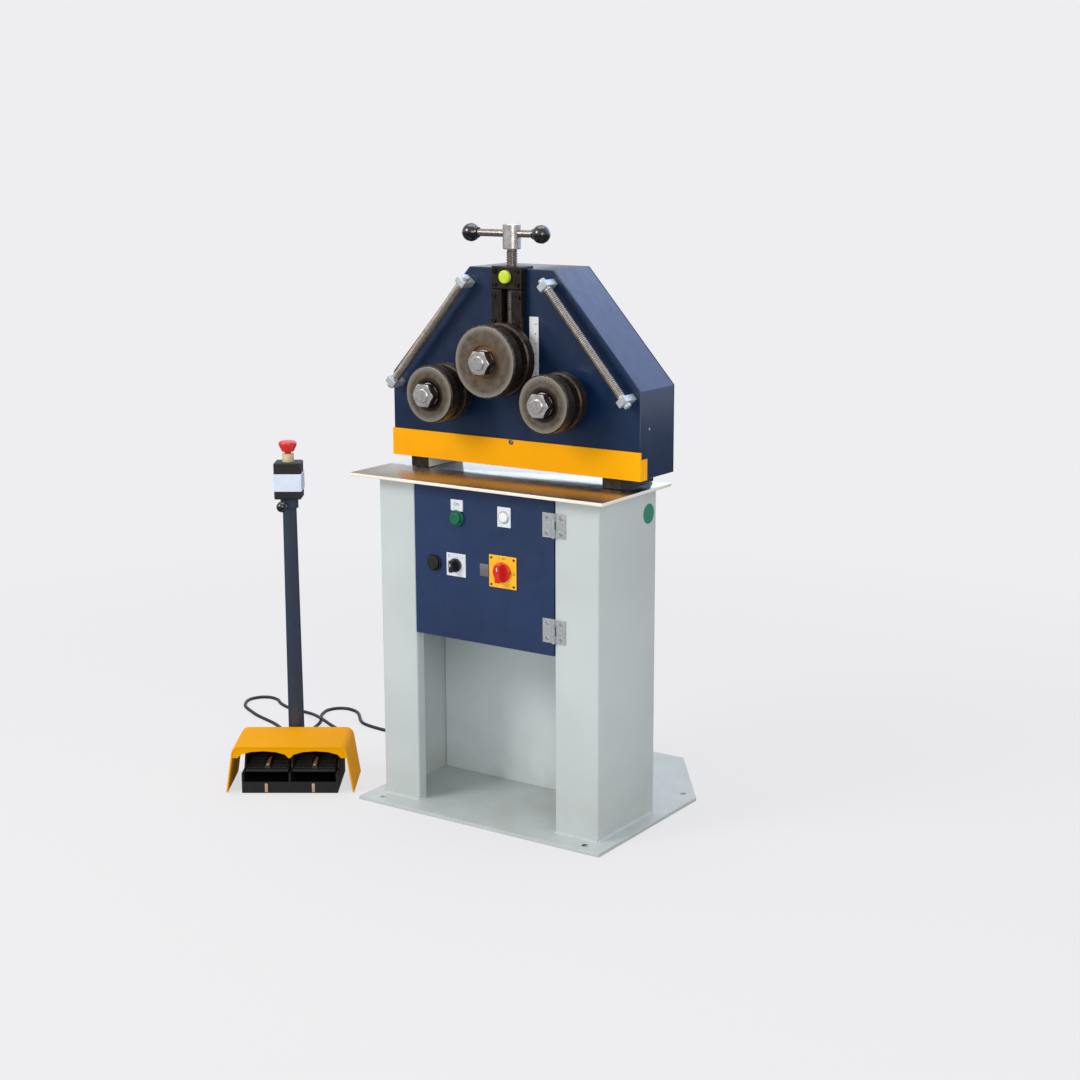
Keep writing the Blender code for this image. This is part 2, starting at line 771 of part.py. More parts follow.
def cabinet_equipment():
    """The mounting plate with two rails, a row of contactors and a row of relays."""
    left = BAY_LEFT + EQUIPMENT_MARGIN
    right = BAY_RIGHT - EQUIPMENT_MARGIN
    back = CABINET_BACK - CABINET_SHEET - GAP
    face = back - EQUIPMENT_PLATE
    rail_face = face - RAIL_DEPTH
    wide, deep, tall = CONTACTOR
    plate = box(
        "cabinet_equipment",
        (left, face, CABINET_FLOOR + EQUIPMENT_MARGIN),
        (right, back, STAND_HEAD - CABINET_CLEARANCE - EQUIPMENT_MARGIN),
        PALE_PLASTIC,
    )
    for drop, count in zip(RAIL_DROPS, CONTACTOR_COUNTS):
        height = TABLE_TOP - drop
        half = RAIL_WIDTH / 2
        rail = box(
            "equipment_rail",
            (left + EQUIPMENT_MARGIN, rail_face, height - half),
            (right - EQUIPMENT_MARGIN, back - EQUIPMENT_PLATE / 2, height + half),
        )
        join(plate, rail)
        for index in range(count):
            start = left + EQUIPMENT_MARGIN * 2 + index * CONTACTOR_STEP
            low = (start, rail_face - deep, height - tall / 2)
            high = (start + wide, rail_face + RAIL_DEPTH / 2, height + tall / 2)
            join(plate, box("equipment_block", low, high))


def door():
    """A folded pan: a sheet with its four edges turned back, hung on its right edge."""
    sheet = DOOR_SHEET
    low = (DOOR_LEFT, DOOR_FRONT, DOOR_BOTTOM)
    high = (DOOR_RIGHT, DOOR_FRONT + DOOR_RETURN, DOOR_TOP)
    panel = box("door", low, high, DOOR_PAINT, DOOR_AXIS)
    hollow = box(
        "door_hollow",
        (DOOR_LEFT + sheet, DOOR_FRONT + sheet, DOOR_BOTTOM + sheet),
        (DOOR_RIGHT - sheet, DOOR_FRONT + DOOR_RETURN + OVERRUN, DOOR_TOP - sheet),
    )
    cut(panel, hollow)
    for x, z in ((START_X, START_Z), (JOG_X, JOG_Z)):
        radius = BUTTON_STEM_RADIUS + GAP
        seat = (x, DOOR_FRONT, z)
        cut(panel, cylinder("stem_hole", radius, OVERRUN, -OVERRUN, seat, FORWARD))


def hinge_leaf(name, height, side, notches):
    """One leaf rolled round the pin, less the thirds of the knuckle that belong to the other one."""
    axis = Vector((DOOR_AXIS[0], DOOR_AXIS[1], height))
    seat = (STAND_FRONT if side > 0 else DOOR_FRONT) - GAP
    face = seat - HINGE_SHEET
    far = side * HINGE_LEAF
    start = math.degrees(math.asin((face - axis.y) / KNUCKLE_RADIUS))
    curl = arc((0, 0), KNUCKLE_RADIUS, start, -270, SMALL_STEPS)
    outline = [(axis.x + far, seat), (axis.x + far, face)]
    outline += [(axis.x + side * u, axis.y + v) for u, v in curl]
    outline.append((axis.x, seat))
    low = height - HINGE_HEIGHT / 2
    high = height + HINGE_HEIGHT / 2
    leaf = prism(name, outline, low, high, "Z", ZINC, axis)
    knuckle = HINGE_HEIGHT / KNUCKLE_COUNT
    ends = (low - OVERRUN, low + knuckle, high - knuckle, high + OVERRUN)
    near_edge = axis.x + side * (KNUCKLE_RADIUS + KNUCKLE_NOTCH_CLEARANCE)
    far_edge = axis.x - side * OVERRUN
    for index in notches:
        notch = box(
            "knuckle_notch",
            (min(near_edge, far_edge), axis.y - OVERRUN, ends[index] - GAP / 2),
            (max(near_edge, far_edge), seat + OVERRUN, ends[index + 1] + GAP / 2),
        )
        cut(leaf, notch)
    half = HINGE_HEIGHT / 2
    if side > 0:
        join(leaf, cylinder("hinge_pin", PIN_RADIUS, half - GAP, -half + GAP, axis, UP))
    else:
        radius = PIN_RADIUS + PIN_CLEARANCE
        cut(leaf, cylinder("hinge_bore", radius, half, -half, axis, UP, steps=SMALL_STEPS))


def hinges():
    for level, drop in HINGE_DROPS.items():
        height = TABLE_TOP - drop
        hinge_leaf(f"hinge_{level}_frame_leaf", height, 1, (1,))
        hinge_leaf(f"hinge_{level}_door_leaf", height, -1, (0, 2))


def door_plate(name, x, z, width, height, finish, hole=0):
    """A moulded plate on the door's face with a hole for what it carries."""
    back = DOOR_FRONT - GAP
    low = (x - width / 2, back - PLATE_THICKNESS, z - height / 2)
    plate = box(name, low, (x + width / 2, back, z + height / 2), finish)
    soften(plate, PLATE_EDGE)
    if hole:
        centre = (x, back, z)
        drill = cylinder(f"{name}_hole", hole, OVERRUN, -OVERRUN, centre, FORWARD)
        cut(plate, drill)
    return plate


def push_button(name, x, z, radius, stands, finish):
    """A button cap and the stem that carries it through its plate."""
    seat = DOOR_FRONT - GAP
    edge = BUTTON_EDGE
    profile = [
        (0, stands),
        (radius - edge, stands),
        (radius, stands - edge),
        (radius, BUTTON_TRAVEL + GAP),
        (BUTTON_STEM_RADIUS, BUTTON_TRAVEL + GAP),
        (BUTTON_STEM_RADIUS, -BUTTON_STEM),
        (0, -BUTTON_STEM),
    ]
    cap = turned(name, profile, (x, seat, z), FORWARD, finish)
    shade_round(cap)


def start_controls():
    """A round bezel with a legend plate above it, and the button that slides in its bore."""
    seat = (START_X, DOOR_FRONT - GAP, START_Z)
    bezel = cylinder(
        "start_bezel",
        START_BEZEL_RADIUS,
        START_BEZEL_STANDS,
        0,
        seat,
        FORWARD,
        GREEN_PLASTIC,
        DISC_STEPS,
    )
    half = START_LEGEND_WIDTH / 2
    legend_foot = (START_RADIUS + START_BEZEL_RADIUS) / 2
    legend = box(
        "start_legend",
        (START_X - half, seat[1] - PLATE_THICKNESS, START_Z + legend_foot),
        (START_X + half, seat[1], START_Z + START_LEGEND_RISE),
    )
    join(bezel, legend)
    bore = START_RADIUS + GAP
    cut(bezel, cylinder("start_bore", bore, OVERRUN, -OVERRUN, seat, FORWARD, steps=DISC_STEPS))
    push_button("start_button", START_X, START_Z, START_RADIUS, START_STANDS, GREEN_PLASTIC)


def pilot_lamp():
    lamp = door_plate("pilot_lamp", LAMP_X, LAMP_Z, LAMP_WIDTH, LAMP_HEIGHT, PALE_PLASTIC)
    radius = LAMP_LENS_RADIUS
    edge = LAMP_LENS_EDGE
    profile = [
        (0, LAMP_LENS_STANDS),
        *arc((radius - edge, LAMP_LENS_STANDS - edge), edge, 90, 0),
        (radius, PLATE_THICKNESS / 2),
        (0, PLATE_THICKNESS / 2),
    ]
    lens = turned("lamp_lens", profile, (LAMP_X, DOOR_FRONT - GAP, LAMP_Z), FORWARD)
    join(lamp, lens)


def rotary_knob(name, x, z, radius, finish, grip_share):
    """A round knob with a raised grip across it, standing on the plate's own hole."""
    seat = Vector((x, DOOR_FRONT - GAP, z))
    floor = PLATE_THICKNESS + GAP
    skirt = KNOB_SKIRT
    edge = KNOB_EDGE
    profile = [
        (0, skirt),
        (radius - edge, skirt),
        (radius, skirt - edge),
        (radius, floor),
        (0, floor),
    ]
    knob = turned(name, profile, seat, FORWARD, finish)
    shade_round(knob)
    half = radius * grip_share
    length = radius - edge * 2
    grip = box(
        f"{name}_grip",
        (x - half, seat.y - KNOB_STANDS, z - length),
        (x + half, seat.y - skirt + edge, z + length),
    )
    soften(grip, edge)
    join(knob, grip)


def door_controls():
    start_controls()
    pilot_lamp()
    push_button("jog_button", JOG_X, JOG_Z, JOG_RADIUS, JOG_STANDS, BLACK_PLASTIC)
    door_plate(
        "selector_plate", SELECTOR_X, SELECTOR_Z, SELECTOR_SIDE, SELECTOR_SIDE, PALE_PLASTIC
    )
    rotary_knob(
        "selector_knob",
        SELECTOR_X,
        SELECTOR_Z,
        SELECTOR_KNOB_RADIUS,
        BLACK_PLASTIC,
        SELECTOR_GRIP_SHARE,
    )
    door_plate(
        "main_switch_plate", SWITCH_X, SWITCH_Z, SWITCH_SIDE, SWITCH_SIDE, YELLOW_PLASTIC
    )
    rotary_knob(
        "main_switch_knob", SWITCH_X, SWITCH_Z, SWITCH_KNOB_RADIUS, RED_PLASTIC, SWITCH_GRIP_SHARE
    )


def stand():
    base_plate()
    stand_columns()
    stand_back_panel()
    table_plate()
    control_cabinet()
    cabinet_equipment()
    door()
    hinges()
    door_controls()


HEAD_OUTLINE = [
    (-HEAD_HALF_WIDTH, HEAD_BOTTOM),
    (HEAD_HALF_WIDTH, HEAD_BOTTOM),
    (HEAD_HALF_WIDTH, HEAD_SHOULDER),
    (HEAD_TOP_HALF_WIDTH, HEAD_TOP),
    (-HEAD_TOP_HALF_WIDTH, HEAD_TOP),
    (-HEAD_HALF_WIDTH, HEAD_SHOULDER),
]
COVER_FRONT = HEAD_BACK - HEAD_COVER
STATIONS = {
    "upper": (0, UPPER_Z),
    "lower_left": (-LOWER_X, LOWER_Z),
    "lower_right": (LOWER_X, LOWER_Z),
}


def head_housing():
    """A hollow five-sided casing with a thick front plate, a slide slot and two bearing bosses."""
    casing = prism(
        "head_housing", HEAD_OUTLINE, HEAD_FRONT, COVER_FRONT - GAP, "Y", HEAD_PAINT
    )
    soften(casing, HEAD_EDGE)
    room_front = HEAD_FRONT + HEAD_FRONT_PLATE
    room = prism(
        "head_room", offset(HEAD_OUTLINE, HEAD_WALL), room_front, HEAD_BACK + OVERRUN, "Y"
    )
    cut(casing, room)
    back = -BOSS_BACK
    seats = [(side * LOWER_X, 0, LOWER_Z) for side in (-1, 1)]
    for seat in seats:
        top = -room_front + HEAD_EDGE
        join(casing, cylinder("bearing_boss", BOSS_RADIUS, top, back, seat, FORWARD))
    top = -HEAD_FRONT + OVERRUN
    for seat in seats:
        radius = BEARING_RADIUS + RADIAL_PLAY
        bore = cylinder("bearing_bore", radius, top, back - OVERRUN, seat, FORWARD, steps=BORE_STEPS)
        cut(casing, bore)
    slot_half = CARRIAGE_BODY_HALF_WIDTH + GAP * 2
    slot = box(
        "slide_slot",
        (-slot_half, HEAD_FRONT - OVERRUN, RAIL_BOTTOM + GAP),
        (slot_half, room_front + OVERRUN, BLOCK_BOTTOM + GAP),
    )
    notch_half = SLIDE_HALF_WIDTH + GAP
    notch = box(
        "block_notch",
        (-notch_half, HEAD_FRONT - OVERRUN, BLOCK_BOTTOM - GAP),
        (notch_half, BLOCK_BACK + GAP, HEAD_TOP + OVERRUN),
    )
    cut(casing, slot, notch)


def head_rear_cover():
    cover = prism("head_rear_cover", HEAD_OUTLINE, COVER_FRONT, HEAD_BACK, "Y", HEAD_PAINT)
    soften(cover, HEAD_EDGE / 2)
    radius = PINION_SHAFT_RADIUS * 2
    passage = cylinder(
        "cover_hole", radius, -HEAD_BACK + OVERRUN, -HEAD_BACK - OVERRUN, (0, 0, LOWER_Z), FORWARD
    )
    cut(cover, passage)


def head_feet():
    for name, side in (("left", -1), ("right", 1)):
        middle = side * FOOT_X
        foot = box(
            f"head_foot_{name}",
            (middle - FOOT_WIDTH / 2, FOOT_FRONT, TABLE_TOP + GAP),
            (middle + FOOT_WIDTH / 2, FOOT_BACK, HEAD_BOTTOM - GAP),
            DARK_STEEL,
        )
        soften(foot, HEAD_EDGE)


def roll_guard():
    """The folded strip along the head's foot, with a lower return on each side."""
    inner = HEAD_HALF_WIDTH + GAP
    outer = inner + APRON_SHEET
    back = HEAD_FRONT - GAP
    front = back - APRON_SHEET
    bend = APRON_SHEET + GAP
    end = front + APRON_RETURN
    outline = [
        (-outer, end),
        (-outer, front, bend),
        (outer, front, bend),
        (outer, end),
        (inner, end),
        (inner, back),
        (-inner, back),
        (-inner, end),
    ]
    top = HEAD_BOTTOM + APRON_HEIGHT
    guard = prism("roll_guard", rounded(outline, 0), HEAD_BOTTOM, top, "Z", APRON_PAINT)
    for side in (-1, 1):
        middle = side * outer
        step = box(
            "guard_step",
            (middle - APRON_SHEET * 2, back, top - APRON_RETURN_DROP),
            (middle + APRON_SHEET * 2, end + OVERRUN, top + OVERRUN),
        )
        cut(guard, step)


def slide():
    """The two rails, the block that bridges their tops and its round cap."""
    back = HEAD_FRONT - GAP
    for name, side in (("left", -1), ("right", 1)):
        near = side * SLOT_HALF_WIDTH
        far = side * SLIDE_HALF_WIDTH
        rail = box(
            f"slide_rail_{name}",
            (min(near, far), SLIDE_FRONT, RAIL_BOTTOM),
            (max(near, far), back, BLOCK_BOTTOM - GAP),
            DARK_STEEL,
        )
        soften(rail, HEAD_EDGE)
    block = box(
        "slide_top_block",
        (-SLIDE_HALF_WIDTH, SLIDE_FRONT, BLOCK_BOTTOM),
        (SLIDE_HALF_WIDTH, BLOCK_BACK, BLOCK_TOP),
        DARK_STEEL,
    )
    soften(block, HEAD_EDGE)
    bore = cylinder(
        "spindle_bore",
        SPINDLE_RADIUS + RADIAL_PLAY,
        BLOCK_TOP + OVERRUN,
        BLOCK_BOTTOM - OVERRUN,
        (0, SPINDLE_Y, 0),
        UP,
    )
    cut(block, bore)
    edge = CAP_EDGE
    profile = [
        (0, CAP_STANDS),
        *arc((CAP_RADIUS - edge, CAP_STANDS - edge), edge, 90, 0),
        (CAP_RADIUS, GAP),
        (0, GAP),
    ]
    cap = turned(
        "block_cap", profile, (0, SLIDE_FRONT, CAP_Z), FORWARD, CAP_PLASTIC, SHAFT_STEPS
    )
    shade_round(cap)


def scale_rule():
    back = HEAD_FRONT - GAP
    box(
        "scale_rule",
        (RULE_LEFT, back - RULE_THICKNESS, RULE_BOTTOM),
        (RULE_RIGHT, back, RULE_TOP),
        ALUMINIUM,
    )


def guide_spindle(name, side):
    """A threaded rod held proud of the head's face by a bracket at each end."""
    top = Vector((side * GUIDE_TOP_X, GUIDE_Y, HEAD_TOP - GUIDE_TOP_DROP))
    foot = Vector((side * GUIDE_FOOT_X, GUIDE_Y, HEAD_SHOULDER - GUIDE_FOOT_DROP))
    half = (top - foot).length / 2
    along = (top - foot).normalized()
    turn = (0, math.atan2(along.x, along.z), 0)
    middle = (top + foot) / 2
    rod = cylinder(
        name, GUIDE_RADIUS, half, -half, middle, turn, ZINC, SMALL_STEPS, GUIDE_CHAMFER
    )
    back = HEAD_FRONT - GAP - GUIDE_Y
    front = BRACKET_FRONT - GUIDE_Y
    inset = BRACKET_ALONG
    for end in (half - inset, -half + inset):
        bracket = box(
            "guide_bracket",
            (-BRACKET_ACROSS / 2, front, end - BRACKET_ALONG / 2),
            (BRACKET_ACROSS / 2, back, end + BRACKET_ALONG / 2),
            pivot=(0, 0, 0),
        )
        bracket.location = middle
        bracket.rotation_euler = turn
        soften(bracket, HEAD_EDGE)
        join(rod, bracket)


def gearmotor():
    """A coaxial gearmotor on the rear cover, with its terminal box to one side."""
    front = -HEAD_BACK - GAP
    gearbox_end = front - MOTOR_GEARBOX
    end = front - MOTOR_LENGTH
    bore = PINION_SHAFT_RADIUS + GAP * 2
    depth = front - MOTOR_SHAFT_DEPTH
    edge = MOTOR_FLANGE_RADIUS - MOTOR_RADIUS
    profile = [
        (0, depth),
        (bore, depth),
        (bore, front),
        (MOTOR_FLANGE_RADIUS, front),
        (MOTOR_FLANGE_RADIUS, gearbox_end),
        (MOTOR_RADIUS, gearbox_end - edge),
        (MOTOR_RADIUS, end + edge),
        (MOTOR_RADIUS - edge, end),
        (0, end),
    ]
    motor = turned("gearmotor", profile, (0, 0, LOWER_Z), FORWARD, MOTOR_PAINT, DISC_STEPS)
    shade_round(motor)
    width, depth, height = MOTOR_BOX
    start = -gearbox_end + edge * 2
    terminal = box(
        "terminal_box",
        (-MOTOR_RADIUS - width + edge, start, LOWER_Z - height / 2),
        (-MOTOR_RADIUS + edge * 2, start + depth, LOWER_Z + height / 2),
    )
    soften(terminal, HEAD_EDGE)
    join(motor, terminal)


def roll_front(station, radius, recess_radius, recess):
    x, z = STATIONS[station]
    front = -ROLL_FACE
    back = front - FRONT_DISC
    bore = SHAFT_RADIUS + RADIAL_PLAY
    profile = [
        (recess_radius, front),
        (radius - DISC_CHAMFER, front),
        (radius, front - DISC_CHAMFER),
        (radius, back + DISC_CHAMFER),
        (radius - DISC_CHAMFER, back),
        (bore, back),
        (bore, front - recess),
        (recess_radius, front - recess),
    ]
    name = f"{station}_roll_front"
    disc = turned(name, profile, (x, 0, z), FORWARD, ROLL_STEEL, DISC_STEPS, closed=True)
    shade_round(disc)


def roll_rear(station, radius):
    """The rear disc with the hub that keeps the two discs apart and so makes the groove."""
    x, z = STATIONS[station]
    hub_front = -ROLL_FACE - FRONT_DISC - GAP
    front = -REAR_DISC_FACE
    back = front - REAR_DISC
    bore = SHAFT_RADIUS + RADIAL_PLAY
    profile = [
        (DISC_HUB_RADIUS, hub_front),
        (DISC_HUB_RADIUS, front),
        (radius - DISC_CHAMFER, front),
        (radius, front - DISC_CHAMFER),
        (radius, back + DISC_CHAMFER),
        (radius - DISC_CHAMFER, back),
        (bore, back),
        (bore, hub_front),
    ]
    name = f"{station}_roll_rear"
    disc = turned(name, profile, (x, 0, z), FORWARD, ROLL_STEEL, DISC_STEPS, closed=True)
    shade_round(disc)


def shaft_nut(station, recess):
    """A hexagon nut with its round washer, screwed up to the front disc."""
    x, z = STATIONS[station]
    seat = -ROLL_FACE - recess + GAP
    hex_back = -ROLL_FACE + GAP
    front = -NUT_FRONT
    corner = NUT_FLATS / math.sqrt(3)
    outline = [
        (x + corner * math.cos(math.radians(angle)), z + corner * math.sin(math.radians(angle)))
        for angle in range(0, 360, 60)
    ]
    name = f"{station}_nut"
    nut = prism(name, outline, -front, -hex_back, "Y", BRIGHT_STEEL, (x, 0, z))
    cone = turned(
        "nut_cone",
        [
            (0, front + NUT_CHAMFER),
            (corner - NUT_CROWN, front + NUT_CHAMFER),
            (corner + NUT_CHAMFER, front - NUT_CHAMFER * 2),
            (corner + NUT_CHAMFER, seat - NUT_CHAMFER),
            (0, seat - NUT_CHAMFER),
        ],
        (x, 0, z),
        FORWARD,
    )
    boolean(nut, cone, "INTERSECT")
    washer = cylinder(
        "nut_washer", NUT_WASHER_RADIUS, hex_back + NUT_CHAMFER, seat, (x, 0, z), FORWARD
    )
    join(nut, washer)
    bore = cylinder(
        "nut_bore", SHAFT_RADIUS + RADIAL_PLAY, front + OVERRUN, seat - OVERRUN, (x, 0, z), FORWARD
    )
    cut(nut, bore)


def gear_outline(teeth, centre, start):
    """Straight-flanked teeth about a centre, the first one at the start angle."""
    pitch_radius = GEAR_MODULE * teeth / 2
    root = pitch_radius - GEAR_MODULE * GEAR_ROOT_SHARE
    tip = pitch_radius + GEAR_MODULE * GEAR_TIP_SHARE
    pitch = 2 * math.pi / teeth
    root_half = pitch * GEAR_ROOT_HALF_SHARE
    tip_half = pitch * GEAR_TIP_HALF_SHARE
    found = []
    for tooth in range(teeth):
        middle = start + tooth * pitch
        for radius, turn in (
            (root, -root_half),
            (tip, -tip_half),
            (tip, tip_half),
            (root, root_half),
        ):
            angle = middle + turn
            point = (centre[0] + radius * math.cos(angle), centre[1] + radius * math.sin(angle))
            found.append(point)
    return found


def lower_shaft(station, first_tooth):
    """The shaft of a driven roll, from its nut through its bearing to the gear behind."""
    x, z = STATIONS[station]
    disc_back = -REAR_DISC_FACE - REAR_DISC - GAP
    collar_back = -HEAD_FRONT + GAP
    gear_front = -GEAR_FRONT
    gear_back = gear_front - GEAR_WIDTH
    hub_front = -BOSS_BACK - GAP
    hub_back = gear_back - SHAFT_CHAMFER
    profile = [
        (0, -SHAFT_FRONT),
        (SHAFT_RADIUS - SHAFT_CHAMFER, -SHAFT_FRONT),
        (SHAFT_RADIUS, -SHAFT_FRONT - SHAFT_CHAMFER),
        (SHAFT_RADIUS, disc_back),
        (COLLAR_RADIUS, disc_back),
        (COLLAR_RADIUS, collar_back),
        (BEARING_RADIUS, collar_back),
        (BEARING_RADIUS, hub_front),
        (GEAR_HUB, hub_front),
        (GEAR_HUB, hub_back),
        (0, hub_back),
    ]
    shaft = turned(f"{station}_shaft", profile, (x, 0, z), FORWARD, BRIGHT_STEEL)
    shade_round(shaft)
    teeth = gear_outline(GEAR_TEETH, (x, z), first_tooth)
    gear = prism("shaft_gear", teeth, -gear_front, -gear_back, "Y", pivot=(x, 0, z))
    join(shaft, gear)


def drive_pinion():
    front = -GEAR_FRONT
    back = front - GEAR_WIDTH
    shaft_end = -HEAD_BACK - MOTOR_SHAFT_DEPTH
    first_gap = math.pi / PINION_TEETH
    teeth = gear_outline(PINION_TEETH, (0, LOWER_Z), math.pi + first_gap)
    pinion = prism(
        "drive_pinion", teeth, -front, -back, "Y", BRIGHT_STEEL, (0, 0, LOWER_Z)
    )
    shaft = cylinder(
        "pinion_shaft",
        PINION_SHAFT_RADIUS,
        back + HEAD_EDGE,
        shaft_end,
        (0, 0, LOWER_Z),
        FORWARD,
    )
    join(pinion, shaft)


def carriage():
    """The block that slides between the rails and carries the upper roll."""
    low = CARRIAGE_TOP - CARRIAGE_HEIGHT
    tongue_half = SLOT_HALF_WIDTH - GAP
    body_front = HEAD_FRONT + GAP
    flange_front = HEAD_FRONT + HEAD_FRONT_PLATE + GAP
    block = box(
        "carriage",
        (-CARRIAGE_BODY_HALF_WIDTH, body_front, low),
        (CARRIAGE_BODY_HALF_WIDTH, flange_front + CARRIAGE_LAP, CARRIAGE_TOP),
        DARK_STEEL,
        (0, 0, UPPER_Z),
    )
    tongue = box(
        "carriage_tongue",
        (-tongue_half, SLIDE_FRONT, low),
        (tongue_half, body_front + CARRIAGE_LAP, CARRIAGE_TOP),
    )
    flange = box(
        "carriage_flange",
        (-CARRIAGE_FLANGE_HALF_WIDTH, flange_front, low),
        (CARRIAGE_FLANGE_HALF_WIDTH, CARRIAGE_FLANGE_BACK, CARRIAGE_TOP),
    )
    join(block, tongue, flange)
    neck = cylinder(
        "neck_bore",
        NECK_RADIUS + RADIAL_PLAY,
        -SLIDE_FRONT + OVERRUN,
        -CARRIAGE_FLANGE_BACK - OVERRUN,
        (0, 0, UPPER_Z),
        FORWARD,
    )
    journal = cylinder(
        "journal_bore",
        SPINDLE_JOURNAL_RADIUS + RADIAL_PLAY,
        CARRIAGE_TOP + OVERRUN,
        CARRIAGE_TOP - SPINDLE_JOURNAL - GAP * 2,
        (0, SPINDLE_Y, 0),
        UP,
        steps=SMALL_STEPS,
    )
    cut(block, neck, journal)


def upper_shaft():
    """The upper roll's shaft: it turns in the carriage and is kept in by the collar behind it."""
    disc_back = -REAR_DISC_FACE - REAR_DISC - GAP
    collar_back = -SLIDE_FRONT + GAP
    rear_collar = -CARRIAGE_FLANGE_BACK - GAP
    end = rear_collar - REAR_COLLAR
    profile = [
        (0, -SHAFT_FRONT),
        (SHAFT_RADIUS - SHAFT_CHAMFER, -SHAFT_FRONT),
        (SHAFT_RADIUS, -SHAFT_FRONT - SHAFT_CHAMFER),
        (SHAFT_RADIUS, disc_back),
        (COLLAR_RADIUS, disc_back),
        (COLLAR_RADIUS, collar_back),
        (NECK_RADIUS, collar_back),
        (NECK_RADIUS, rear_collar),
        (SHAFT_RADIUS, rear_collar),
        (SHAFT_RADIUS, end),
        (0, end),
    ]
    shaft = turned("upper_shaft", profile, (0, 0, UPPER_Z), FORWARD, BRIGHT_STEEL)
    shade_round(shaft)


def adjusting_spindle():
    """The lead screw with the hub that its cross bar slides through."""
    edge = SHAFT_CHAMFER
    seat = CARRIAGE_TOP + GAP
    tip = CARRIAGE_TOP - SPINDLE_JOURNAL
    profile = [
        (0, HUB_TOP),
        (HUB_RADIUS - edge, HUB_TOP),
        (HUB_RADIUS, HUB_TOP - edge),
        (HUB_RADIUS, HUB_BOTTOM + edge),
        (HUB_RADIUS - edge, HUB_BOTTOM),
        (SPINDLE_RADIUS, HUB_BOTTOM),
        (SPINDLE_RADIUS, seat),
        (SPINDLE_JOURNAL_RADIUS, seat),
        (SPINDLE_JOURNAL_RADIUS, tip),
        (0, tip),
    ]
    spindle = turned("adjusting_spindle", profile, (0, SPINDLE_Y, 0), UP, BRIGHT_STEEL)
    shade_round(spindle)
    cross = cylinder(
        "bar_hole",
        BAR_RADIUS + RADIAL_PLAY,
        HUB_RADIUS + OVERRUN,
        -HUB_RADIUS - OVERRUN,
        (0, SPINDLE_Y, BAR_Z),
        SIDEWAYS,
    )
    cut(spindle, cross)


def cross_bar():
    """The sliding bar and the ball knob on each of its ends."""
    seat = BAR_KNOB_RADIUS
    cylinder(
        "t_bar",
        BAR_RADIUS,
        BAR_RIGHT - seat - GAP,
        BAR_LEFT + seat + GAP,
        (0, SPINDLE_Y, BAR_Z),
        SIDEWAYS,
        BRIGHT_STEEL,
        SHAFT_STEPS,
    )
    neck_angle = math.degrees(math.acos(BAR_KNOB_NECK_RADIUS / BAR_KNOB_RADIUS))
    for name, centre, side in (("left", BAR_LEFT, 1), ("right", BAR_RIGHT, -1)):
        profile = [
            (0, BAR_KNOB_RADIUS),
            *arc((0, 0), BAR_KNOB_RADIUS, 75, -neck_angle, BALL_STEPS),
            (BAR_KNOB_NECK_RADIUS, -BAR_KNOB_RADIUS),
            (0, -BAR_KNOB_RADIUS),
        ]
        turn = (0, -side * math.radians(90), 0)
        knob = turned(
            f"bar_knob_{name}", profile, (centre, SPINDLE_Y, BAR_Z), turn, GLOSS_BLACK
        )
        shade_round(knob)


def rolls():
    for station in STATIONS:
        upper = station == "upper"
        radius = UPPER_RADIUS if upper else LOWER_RADIUS
        recess_radius = UPPER_RECESS_RADIUS if upper else LOWER_RECESS_RADIUS
        recess = UPPER_RECESS if upper else LOWER_RECESS
        roll_front(station, radius, recess_radius, recess)
        roll_rear(station, radius)
        shaft_nut(station, recess)
    lower_shaft("lower_left", 0)
    lower_shaft("lower_right", math.pi + math.pi / GEAR_TEETH)
    upper_shaft()
    drive_pinion()


def head():
    head_housing()
    head_rear_cover()
    head_feet()
    roll_guard()
    slide()
    scale_rule()
    guide_spindle("guide_spindle_left", -1)
    guide_spindle("guide_spindle_right", 1)
    gearmotor()
    carriage()
    adjusting_spindle()
    cross_bar()
    rolls()


def ribbon(name, path, near, far, thickness, finish):
    """A thin sheet that follows a path drawn in U and Z, from near to far along V."""
    curve = bpy.data.curves.new(name, "CURVE")
    curve.dimensions = "2D"
    curve.fill_mode = "NONE"
    curve.extrude = (far - near) / 2
    spline = curve.splines.new("POLY")
    spline.points.add(len(path) - 1)
    for point, (u, v) in zip(spline.points, path):
        point.co = (u, v, 0, 1)
    source = bpy.data.objects.new(name, curve)
    HELPERS.objects.link(source)
    graph = bpy.context.evaluated_depsgraph_get()
    mesh = bpy.data.meshes.new_from_object(source.evaluated_get(graph))
    bpy.data.objects.remove(source)
    bpy.data.curves.remove(curve)
    mesh.transform(Matrix.Translation((0, (near + far) / 2, 0)) @ across("Y"))
    mesh.name = name
    sheet = place_mesh(name, mesh, (0, 0, 0), finish)
    solid = sheet.modifiers.new("thickness", "SOLIDIFY")
    solid.thickness = thickness
    solid.offset = 0
    solid.use_even_offset = True
    return sheet


